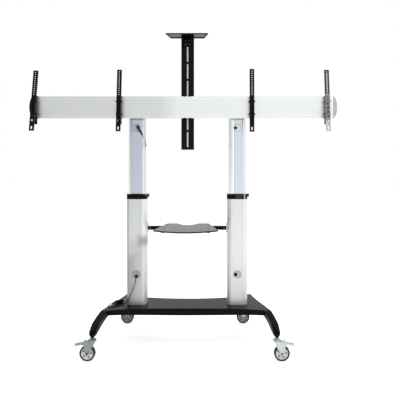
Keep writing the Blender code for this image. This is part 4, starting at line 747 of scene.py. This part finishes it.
# Painted shade: dark brown sheets in the hubs' pockets stand for the shade in them.
pocket_shade_nylon = finish_material(
    "pocket_shade_nylon", ((0.10, 0.075, 0.06), (0.16, 0.13, 0.11)), (0.5, 0.65), 0.0,
    (60, 900), (0.12, 0.0003))
dress(zinc, "brake_pedal_left", "brake_pedal_right")
for corner in CORNERS:
    dress(zinc, "caster_fork_" + corner)
    dress(tread_rubber, "caster_tyre_" + corner)
    dress(cream_nylon, "caster_hub_" + corner)

rib = begin_box(RIB_CENTRE, RIB_SIZE)
edit()
pick_faces(lambda face: face.normal.y < -0.9)
bpy.ops.transform.resize(value=(0.6, 1, 1))
pick_all()
bpy.ops.transform.translate(value=(0, RIB_Y, 0))
repeat_round(RIB_COUNT, (0, 1, 0))
pick_all()
bpy.ops.mesh.remove_doubles(threshold=0.00002)
settle(rib, "hub_ribs", cream_nylon, "cream_nylon")

hub_ring = begin("primitive_torus_add", major_radius=0.0225, minor_radius=0.0011,
                 major_segments=40, minor_segments=8, rotation=(math.radians(90), 0, 0))
edit()
pick_all()
bpy.ops.transform.resize(value=(1, 1, 1.5))
bpy.ops.object.mode_set(mode='OBJECT')
bpy.ops.object.transform_apply(location=True, rotation=True, scale=True)
hub_ring.data.transform(Matrix.Translation((0, RING_Y, 0)))
settle(hub_ring, "hub_ring", cream_nylon, "cream_nylon")

# Thin dark sheets of painted shade in the hub's pockets, repeated round the axle.
pocket = begin_box(POCKET_CENTRE, POCKET_SIZE)
edit()
pick_faces(lambda face: face.normal.z > 0.9)
bpy.ops.transform.resize(value=(1.5, 1, 1))
pick_all()
bpy.ops.mesh.bevel(offset=0.0010, segments=2)
repeat_round(POCKET_COUNT, (0, 1, 0))
settle(pocket, "hub_pocket_shade", pocket_shade_nylon, "cream_nylon")

axle_nut = model_bolt("axle_nut", 0.011, 0.0042, 0.0072, dark_zinc, "zinc_plate")
seal = begin("primitive_torus_add", major_radius=0.0256, minor_radius=0.0014,
             major_segments=48, minor_segments=10)
settle(seal, "race_seal", dark_zinc, "zinc_plate")
ball = begin("primitive_uv_sphere_add", segments=12, ring_count=8, radius=BALL_RADIUS,
             location=(BALL_CIRCLE, 0, 0))
edit()
repeat_round(BALL_COUNT, (0, 0, 1))
settle(ball, "race_balls", bright_nickel, "zinc_plate")

for label, stem_x, y, trail in CASTERS:
    x = stem_x + trail * CASTER_TRAIL
    for side, out, turn in (("front", -1, 0), ("back", 1, math.pi)):
        at = Matrix.Translation((x, y, WHEEL_RADIUS)) @ Matrix.Rotation(turn, 4, 'Z')
        for kind, piece in (("ribs", rib), ("ring", hub_ring), ("pocket_shade", pocket)):
            copy_to(piece, f"hub_{kind}_{side}_{label}", at, "wheel_" + label)
        seat = seat_at((x, y + out * AXLE_NUT_Y, WHEEL_RADIUS), (0, out, 0))
        copy_to(axle_nut, f"axle_nut_{side}_{label}", seat, "caster_" + label)
    for kind, piece, z in (("seal", seal, RACE_SEAL_Z), ("balls", ball, RACE_BALLS_Z)):
        at = Matrix.Translation((stem_x, y, z))
        copy_to(piece, f"race_{kind}_{label}", at, "caster_" + label)
remove_patterns(rib, hub_ring, seal, ball, axle_nut, pocket)


# Columns: two anodised and brushed aluminium extrusions a side, the upper sliding in the lower.
# Moulded collars with clamp knobs hold the height, and round covers close the cable holes.

SIDES = ("left", "right")
LOWER_DEPTH = 0.115
COLLAR_WALL = 0.0024
COLLAR_SCREW_X = 0.030
COLLAR_SCREW_Z = 1.0200
SADDLE_SCREWS_Z = (1.602, 1.680)
BUTTON_BALL = 0.0058
BUTTON_SEAT = 0.0022
BUTTON_CROWN = 0.0053
KEY_RADIUS = 0.0018
CAP_RING_REACH = 0.0031
GROMMET_REACH = 0.0030
CAP_PLACES = {
    "lower": (COLUMN_Y - LOWER_DEPTH / 2, LOWER_CAP_Z),
    "upper": (COLUMN_Y - UPPER_DEPTH / 2, UPPER_CAP_Z),
}
FLUTES_X = (-0.047, -0.031, -0.016, 0.0, 0.016, 0.031, 0.047)
FLUTE_HALF_WIDTH = 0.0008
GROOVE_SHADE_X = (-0.3668, 0.3400, 0.3560)
GROOVE_SHADE_HALF_WIDTH = 0.0014
UPPER_FRONT = (-0.0600, -0.0300)
COLLAR_FRONT = (-0.0800, -0.0480)
COLLAR_RISE = (1.00, 1.06)
LEFT_CAP_X = (-0.3800, -0.2900)
RIGHT_CAP_X = (0.3300, 0.4200)
UPPER_CAP_RISE = (1.4600, 1.5500)
LOWER_CAP_RISE = (0.4300, 0.5200)


def brushed_material(name, colours, roughness, metallic, stretch):
    """Anodised metal with fine streaks along one axis."""
    return finish_material(name, colours, roughness, metallic, (9, 420), (0.10, 0.0002),
                           stretch=stretch, Anisotropic=0.4)


lower_anodised = brushed_material(
    "lower_anodised", ((0.53, 0.54, 0.54), (0.585, 0.595, 0.595)), (0.38, 0.50), 0.7,
    (1, 1, 0.012))
# Painted shade along the flutes of the lower columns.
for column_x in COLUMN_X.values():
    for flute in FLUTES_X:
        paint_light_line(lower_anodised, "x", column_x + flute, FLUTE_HALF_WIDTH, (0.40, 0.40, 0.41), 0.35)
# Painted reflections of the room and painted shade along the rounded corners and faces: tint,
# strength, softness, zone.
for tint, strength, soft, zone in (
        (grey(0.76), 0.8, 0.008, {"x": (-0.288, -0.280)}),
        (grey(0.80), 0.8, 0.003, {"x": (-0.2740, -0.2550)}),
        (grey(0.22), 0.8, 0.012, {"x": (-0.4015, -0.394)}),
        ((0.69, 0.69, 0.70), 0.8, 0.010, {"x": (0.336, 0.460)}),
        (grey(0.36), 0.35, 0.30, {"z": (0.2000, 0.3500)}),
        (grey(0.20), 0.6, 0.08, {"x": (-0.4015, -0.385), "z": (0.2000, 0.5600)}),
        (grey(0.30), 0.30, 0.06, {"x": (-0.4015, -0.2950), "z": (0.2000, 0.6800)}),
        (grey(0.18), 0.6, 0.040, {"x": (-0.3000, -0.2600), "z": (0.7000, 0.7250)})):
    paint_light_zone(lower_anodised, tint, strength, soft, **zone)

upper_anodised = brushed_material(
    "upper_anodised", ((0.60, 0.605, 0.61), (0.66, 0.665, 0.67)), (0.24, 0.38), 1.0,
    (1, 1, 0.012))
# Painted reflections of the room across the front faces: tint, strength, softness, and where each
# zone starts and ends across.
for tint, strength, soft, start, end in (
        (grey(0.80), 0.9, 0.004, -0.3920, -0.3690),
        ((0.485, 0.535, 0.600), 0.95, 0.003, -0.3655, -0.2880),
        ((0.615, 0.660, 0.720), 0.95, 0.002, 0.3550, 0.4170),
        (grey(0.66), 0.9, 0.003, -0.2865, -0.2700),
        (grey(0.98), 0.9, 0.004, 0.3170, 0.3540),
        ((0.60, 0.61, 0.62), 0.9, 0.004, 0.4190, 0.4400)):
    paint_light_zone(upper_anodised, tint, strength, soft, x=(start, end), y=UPPER_FRONT)
# Painted shade along the grooves of the front faces.
for groove_shade in GROOVE_SHADE_X:
    paint_light_line(upper_anodised, "x", groove_shade, GROOVE_SHADE_HALF_WIDTH, (0.20, 0.21, 0.23), 0.6, y=UPPER_FRONT)
# Painted shadow of the beam across the top of each upper column's front.
paint_light_zone(upper_anodised, (0.20, 0.21, 0.22), 0.55, 0.004,
          y=(-0.0500, -0.0370), z=(1.5600, 1.5700))

collar_nylon = finish_material(
    "collar_nylon", ((0.0010, 0.0010, 0.0012), (0.0020, 0.0020, 0.0023)), (0.22, 0.34), 0.0,
    (50, 1500), (0.20, 0.0003), (0.0010, 180, (0.012, 0.012, 0.013)), Specular_IOR_Level=0.07)
# Painted sheen and a painted highlight across the right collar's front, and a painted highlight on
# the top of the left collar's knob.
paint_light_zone(collar_nylon, (0.030, 0.033, 0.036), 0.9, 0.012,
          x=(0.3700, 0.4120), y=COLLAR_FRONT, z=COLLAR_RISE)
paint_light_zone(collar_nylon, (0.38, 0.385, 0.39), 0.9, 0.003,
          x=(0.4250, 0.4310), y=COLLAR_FRONT, z=COLLAR_RISE)
paint_light_zone(collar_nylon, (0.16, 0.17, 0.165), 0.9, 0.003,
          x=(-0.2780, -0.2400), y=(-0.0400, 0.0600), z=(1.0310, 1.0500))
cap_plastic = finish_material(
    "cap_plastic", ((0.36, 0.38, 0.385), (0.43, 0.45, 0.455)), (0.30, 0.42), 0.0,
    (60, 1500), (0.20, 0.0003), (0.0010, 200, (0.62, 0.63, 0.64)))
# Painted highlight, reflection and shade on the covers: the upper right one is lighter, the upper
# left one bluish and the lower left one darker.
paint_light_zone(cap_plastic, (0.70, 0.71, 0.71), 0.9, 0.002, x=RIGHT_CAP_X, z=UPPER_CAP_RISE)
paint_light_zone(cap_plastic, (0.34, 0.38, 0.42), 0.9, 0.002, x=LEFT_CAP_X, z=UPPER_CAP_RISE)
paint_light_zone(cap_plastic, (0.25, 0.26, 0.26), 0.9, 0.002, x=LEFT_CAP_X, z=LOWER_CAP_RISE)
ring_plastic = finish_material(
    "ring_plastic", ((0.20, 0.205, 0.21), (0.26, 0.265, 0.27)), (0.34, 0.46), 0.0,
    (60, 1500), (0.20, 0.0003))
for side in SIDES:
    dress(lower_anodised, "lower_column_" + side)
    dress(upper_anodised, "upper_column_" + side)
    dress(collar_nylon, "column_collar_" + side, "clamp_knob_" + side, "beam_saddle_" + side)
    dress(cap_plastic, "lower_cap_" + side, "upper_cap_" + side)

# A button head screw: the slice of a ball between two heights, with a hexagon socket.
button_m6 = begin("primitive_uv_sphere_add", segments=24, ring_count=16, radius=BUTTON_BALL)
edit()
for height, part in ((BUTTON_SEAT, {"clear_inner": True}), (BUTTON_CROWN, {"clear_outer": True})):
    pick_all()
    bpy.ops.mesh.bisect(plane_co=(0, 0, height), plane_no=(0, 0, 1), use_fill=True, **part)
pick_all()
bpy.ops.transform.translate(value=(0, 0, -BUTTON_SEAT))
bpy.ops.object.mode_set(mode='OBJECT')
key = begin("primitive_cylinder_add", vertices=6, radius=KEY_RADIUS, depth=0.003,
            location=(0, 0, BUTTON_CROWN - BUTTON_SEAT))
socket = button_m6.modifiers.new("socket", 'BOOLEAN')
socket.operation = 'DIFFERENCE'
socket.solver = 'EXACT'
socket.object = key
settle(button_m6, "button_m6", dark_zinc, "zinc_plate")

cap_ring = begin("primitive_torus_add", major_radius=0.0245, minor_radius=0.0012,
                 major_segments=56, minor_segments=8, rotation=(math.radians(90), 0, 0))
settle(cap_ring, "cap_ring", ring_plastic, "grey_plastic")
grommet = begin("primitive_torus_add", major_radius=0.0106, minor_radius=0.0016,
                major_segments=36, minor_segments=10, rotation=(math.radians(90), 0, 0))
settle(grommet, "cap_grommet", tread_rubber, "black_rubber")
for (level, side), turn in CAP_TURNS.items():
    face, z = CAP_PLACES[level]
    body = "lift" if level == "upper" else "frame"
    if side == "right":
        body = f"{level}_right_cap"
    x = COLUMN_X[side]
    middle = Matrix.Translation((x, face - CAP_RING_REACH, z))
    copy_to(cap_ring, f"{level}_cap_ring_{side}", middle, body)
    hole = Matrix.Translation((
        x + CAP_HOLE_OFFSET * math.cos(math.radians(turn)), face - GROMMET_REACH,
        z + CAP_HOLE_OFFSET * math.sin(math.radians(turn))))
    if (level, side) != ("upper", "left"):
        copy_to(grommet, f"{level}_cap_grommet_{side}", hole, body)

for side, x in COLUMN_X.items():
    for k, z in enumerate(SADDLE_SCREWS_Z):
        seat = seat_at((x, COLUMN_Y + UPPER_DEPTH / 2, z), (0, 1, 0))
        copy_to(button_m6, f"saddle_screw_{side}_{k + 1}", seat, "lift")
    collar_y = COLUMN_Y - LOWER_DEPTH / 2 - COLLAR_WALL
    for k, u in enumerate((-COLLAR_SCREW_X, COLLAR_SCREW_X)):
        seat = seat_at((x + u, collar_y, COLLAR_SCREW_Z), (0, -1, 0))
        collar_screw = copy_to(button_m6, f"collar_screw_{side}_{k + 1}", seat, "frame")
        collar_screw.data.materials[0] = collar_nylon
remove_patterns(key, cap_ring, grommet)


# Beam: one brushed extrusion with fine grooves along its face, closed by a moulded cover at each
# end. The left cover is dark, and the right one is grey as in the photograph.

GROOVES_Z = (1.6860, 1.6640, 1.6200, 1.5970)
GROOVE_HALF_WIDTH = 0.0008

beam_anodised = brushed_material(
    "beam_anodised", ((0.79, 0.80, 0.795), (0.85, 0.86, 0.855)), (0.28, 0.42), 1.0, (0.012, 1, 1))
# Painted shade: the left part of the beam is darker.
paint_light_zone(beam_anodised, (0.55, 0.56, 0.555), 0.5, 0.12, x=(-1.1, -0.16))
# Painted shade along the grooves of the beam's face.
for groove in GROOVES_Z:
    paint_light_line(beam_anodised, "z", groove, GROOVE_HALF_WIDTH, grey(0.36), 0.26)
dress(beam_anodised, "beam")
cover_grey = finish_material(
    "cover_grey", ((0.34, 0.355, 0.355), (0.42, 0.43, 0.43)), (0.34, 0.48), 0.0,
    (40, 1300), (0.20, 0.0003), (0.0030, 160, (0.16, 0.165, 0.165)))
cover_dark = finish_material(
    "cover_dark", ((0.008, 0.008, 0.009), (0.014, 0.014, 0.015)), (0.34, 0.48), 0.0,
    (40, 1300), (0.20, 0.0003), (0.0012, 160, (0.04, 0.04, 0.042)), Specular_IOR_Level=0.15)
dress(cover_dark, "beam_end_cap_left")
dress(cover_grey, "beam_end_cap_right")


# Screen brackets: folded hooks over the beam's edges and drilled rails, all powder coated. The
# rail hangs on a pin, and a screw in its curved slot locks the tilt.

BRACKETS = {"outer_left": -1.018, "inner_left": -0.437, "inner_right": 0.471, "outer_right": 0.986}
PIN_HEAD_X = 0.0193
PIVOT_Y = -0.1401
PIVOT_Z = 1.6777
LOCK_Z = 1.5917
OUTER_RAIL_X = (0.960, 1.010)
HOLE_SHADE_Z = (1.6385, 1.6080, 1.5770, 1.5500, 1.5230)
HOLE_SHADE_HALF_HEIGHT = 0.004


def sheen_coat_material(name, low, high, roughness, wear, specular):
    """A powder coat carrying a painted sheen: a grey between two levels, with its edges worn to
    another level.
    """
    return finish_material(name, (grey(low), grey(high)), roughness, 0.0, (60, 1200),
                           (0.20, 0.0004), (0.0008, 200, grey(wear)), Specular_IOR_Level=specular)


bracket_coat = finish_material(
    "bracket_coat", ((0.0015, 0.0015, 0.0018), (0.0030, 0.0030, 0.0033)), (0.24, 0.36), 0.0,
    (60, 1200), (0.20, 0.0004), (0.0008, 200, (0.022, 0.022, 0.023)), Specular_IOR_Level=0.09)
for label in BRACKETS:
    dress(bracket_coat, "bracket_hook_" + label, "bracket_rail_" + label, "tilt_lock_" + label)
# Painted sheen on the outer right bracket: its hook and lock are a lighter grey, with painted shade
# low on the hook's left side.
hook_painted_sheen = sheen_coat_material("hook_painted_sheen", 0.035, 0.055, (0.26, 0.38), 0.10, 0.15)
paint_light_zone(hook_painted_sheen, grey(0.02), 0.8, 0.004, x=(0.9600, 0.9760), z=(1.4900, 1.5770))
dress(hook_painted_sheen, "bracket_hook_outer_right", "tilt_lock_outer_right")
# Painted highlights down the outer right rail, brightest at its foot.
rail_painted_sheen = sheen_coat_material("rail_painted_sheen", 0.018, 0.028, (0.24, 0.36), 0.05, 0.3)
paint_light_zone(rail_painted_sheen, grey(0.20), 0.7, x=(0.9800, 0.9920), z=(1.7450, 1.8750))
paint_light_zone(rail_painted_sheen, grey(0.15), 0.9, 0.003, x=OUTER_RAIL_X, z=(1.5600, 1.7300))
paint_light_zone(rail_painted_sheen, grey(0.46), 0.9, 0.020, x=OUTER_RAIL_X, z=(1.4600, 1.5450))
# Painted shade where the rail's holes are.
for hole_shade_z in HOLE_SHADE_Z:
    paint_light_line(rail_painted_sheen, "z", hole_shade_z, HOLE_SHADE_HALF_HEIGHT, grey(0.02), 0.9, x=(0.9880, 0.9940))
dress(rail_painted_sheen, "bracket_rail_outer_right")
pin_head = model_bolt("pin_head", 0.0070, 0.0016, 0.0046, bracket_coat, "black_steel")
for label, x in BRACKETS.items():
    for k, out in enumerate((-1, 1)):
        for kind, z, body in (("pivot", PIVOT_Z, "hook_"), ("lock", LOCK_Z, "lock_")):
            seat = seat_at((x + out * PIN_HEAD_X, PIVOT_Y, z), (out, 0, 0))
            copy_to(pin_head, f"{kind}_head_{label}_{k + 1}", seat, body + label)
remove_patterns(pin_head)


# Camera mast: a slotted channel behind the beam, clamped over the beam's edges by a plate with
# fingers and a stud, with a bolted shelf on its top.

MAST_X = 0.028
MAST_NUT_PLACE = (MAST_X, -0.0292, 1.6417)
LINER_CENTRE = (MAST_X, -0.0384, 1.7430)
LINER_SIZE = (0.022, 0.0014, 0.742)
TRAY_SCREW_X = 0.014
TRAY_SCREW_Y = -0.0458
TRAY_SCREWS_Z = (2.117, 2.091)
TRAY_SIDES_X = ((-0.1080, -0.0190), (0.0750, 0.1640))

dress(bracket_coat, "camera_mast", "mast_clamp")
tray_coat = finish_material(
    "tray_coat", ((0.0020, 0.0020, 0.0022), (0.0040, 0.0040, 0.0044)), (0.24, 0.36), 0.0,
    (60, 1200), (0.03, 0.0002), (0.0008, 200, (0.012, 0.012, 0.013)), Specular_IOR_Level=0.10)
# Painted reflection on the shelf plate either side of the mast, where it is seen from below.
for tray_side in TRAY_SIDES_X:
    paint_light_zone(tray_coat, grey(0.10), 1.0, 0.0010,
              x=tray_side, y=(-0.1520, -0.0480), z=(2.1310, 2.1380))
dress(tray_coat, "camera_shelf")
satin_steel = finish_material(
    "satin_steel", ((0.50, 0.50, 0.505), (0.58, 0.58, 0.585)), (0.30, 0.45), 0.85,
    (40, 900), (0.10, 0.0003), (0.0008, 200, (0.60, 0.60, 0.61)), stretch=(1, 1, 0.05))
liner = begin_box(LINER_CENTRE, LINER_SIZE)
edit()
pick_edges_along(1)
bpy.ops.mesh.bevel(offset=0.006, segments=4)
settle(liner, "mast_liner", satin_steel, "zinc_plate", "mast")
mast_nut = model_bolt("mast_nut", 0.017, 0.0070, 0.013, dark_zinc, "zinc_plate")
copy_to(mast_nut, "mast_clamp_nut", seat_at(MAST_NUT_PLACE, (0, 1, 0)), "mast_carrier")
remove_patterns(mast_nut)
tray_screws = [(u, z) for z in TRAY_SCREWS_Z for u in (-TRAY_SCREW_X, TRAY_SCREW_X)]
for k, (u, z) in enumerate(tray_screws):
    seat = seat_at((MAST_X + u, TRAY_SCREW_Y, z), (0, -1, 0))
    copy_to(button_m6, f"camera_shelf_screw_{k + 1}", seat, "mast")


# Equipment shelf: a thin folded tray, powder coated, on two arms of a square tube that is clamped
# between the lower columns.

SHELF_TOP = 0.812
SHELF_SCREW_X = 0.151
SHELF_SCREWS_Y = (-0.150, 0.060)
BAR_SCREW = (0.262, -0.0075 - GAP, 0.7957)
CLAMP_SCREW_X = 0.2782
CLAMP_SCREWS_Z = (0.7685, 0.8225)

shelf_coat = finish_material(
    "shelf_coat", ((0.006, 0.006, 0.0065), (0.010, 0.010, 0.0105)), (0.20, 0.28), 0.0,
    (18, 900), (0.12, 0.0003), (0.0010, 160, (0.030, 0.030, 0.031)), Specular_IOR_Level=0.155)
dress(shelf_coat, "equipment_shelf")
dress(boot_nylon, "shelf_crossbar")
dress(satin_steel, "shelf_clamp_left", "shelf_clamp_right")
for side, out in (("left", -1), ("right", 1)):
    seat = seat_at((CART_X + out * BAR_SCREW[0], BAR_SCREW[1], BAR_SCREW[2]), (0, -1, 0))
    copy_to(button_m6, "crossbar_screw_" + side, seat, "shelf")
    for k, z in enumerate(CLAMP_SCREWS_Z):
        seat = seat_at((CART_X + out * CLAMP_SCREW_X, COLUMN_Y, z), (-out, 0, 0))
        copy_to(button_m6, f"shelf_clamp_screw_{side}_{k + 1}", seat, "shelf")
shelf_screws = [(u, y) for y in SHELF_SCREWS_Y for u in (-SHELF_SCREW_X, SHELF_SCREW_X)]
for k, (u, y) in enumerate(shelf_screws):
    seat = Matrix.Translation((CART_X + u, y, SHELF_TOP))
    copy_to(button_m6, f"shelf_screw_{k + 1}", seat, "shelf")
remove_patterns(button_m6)
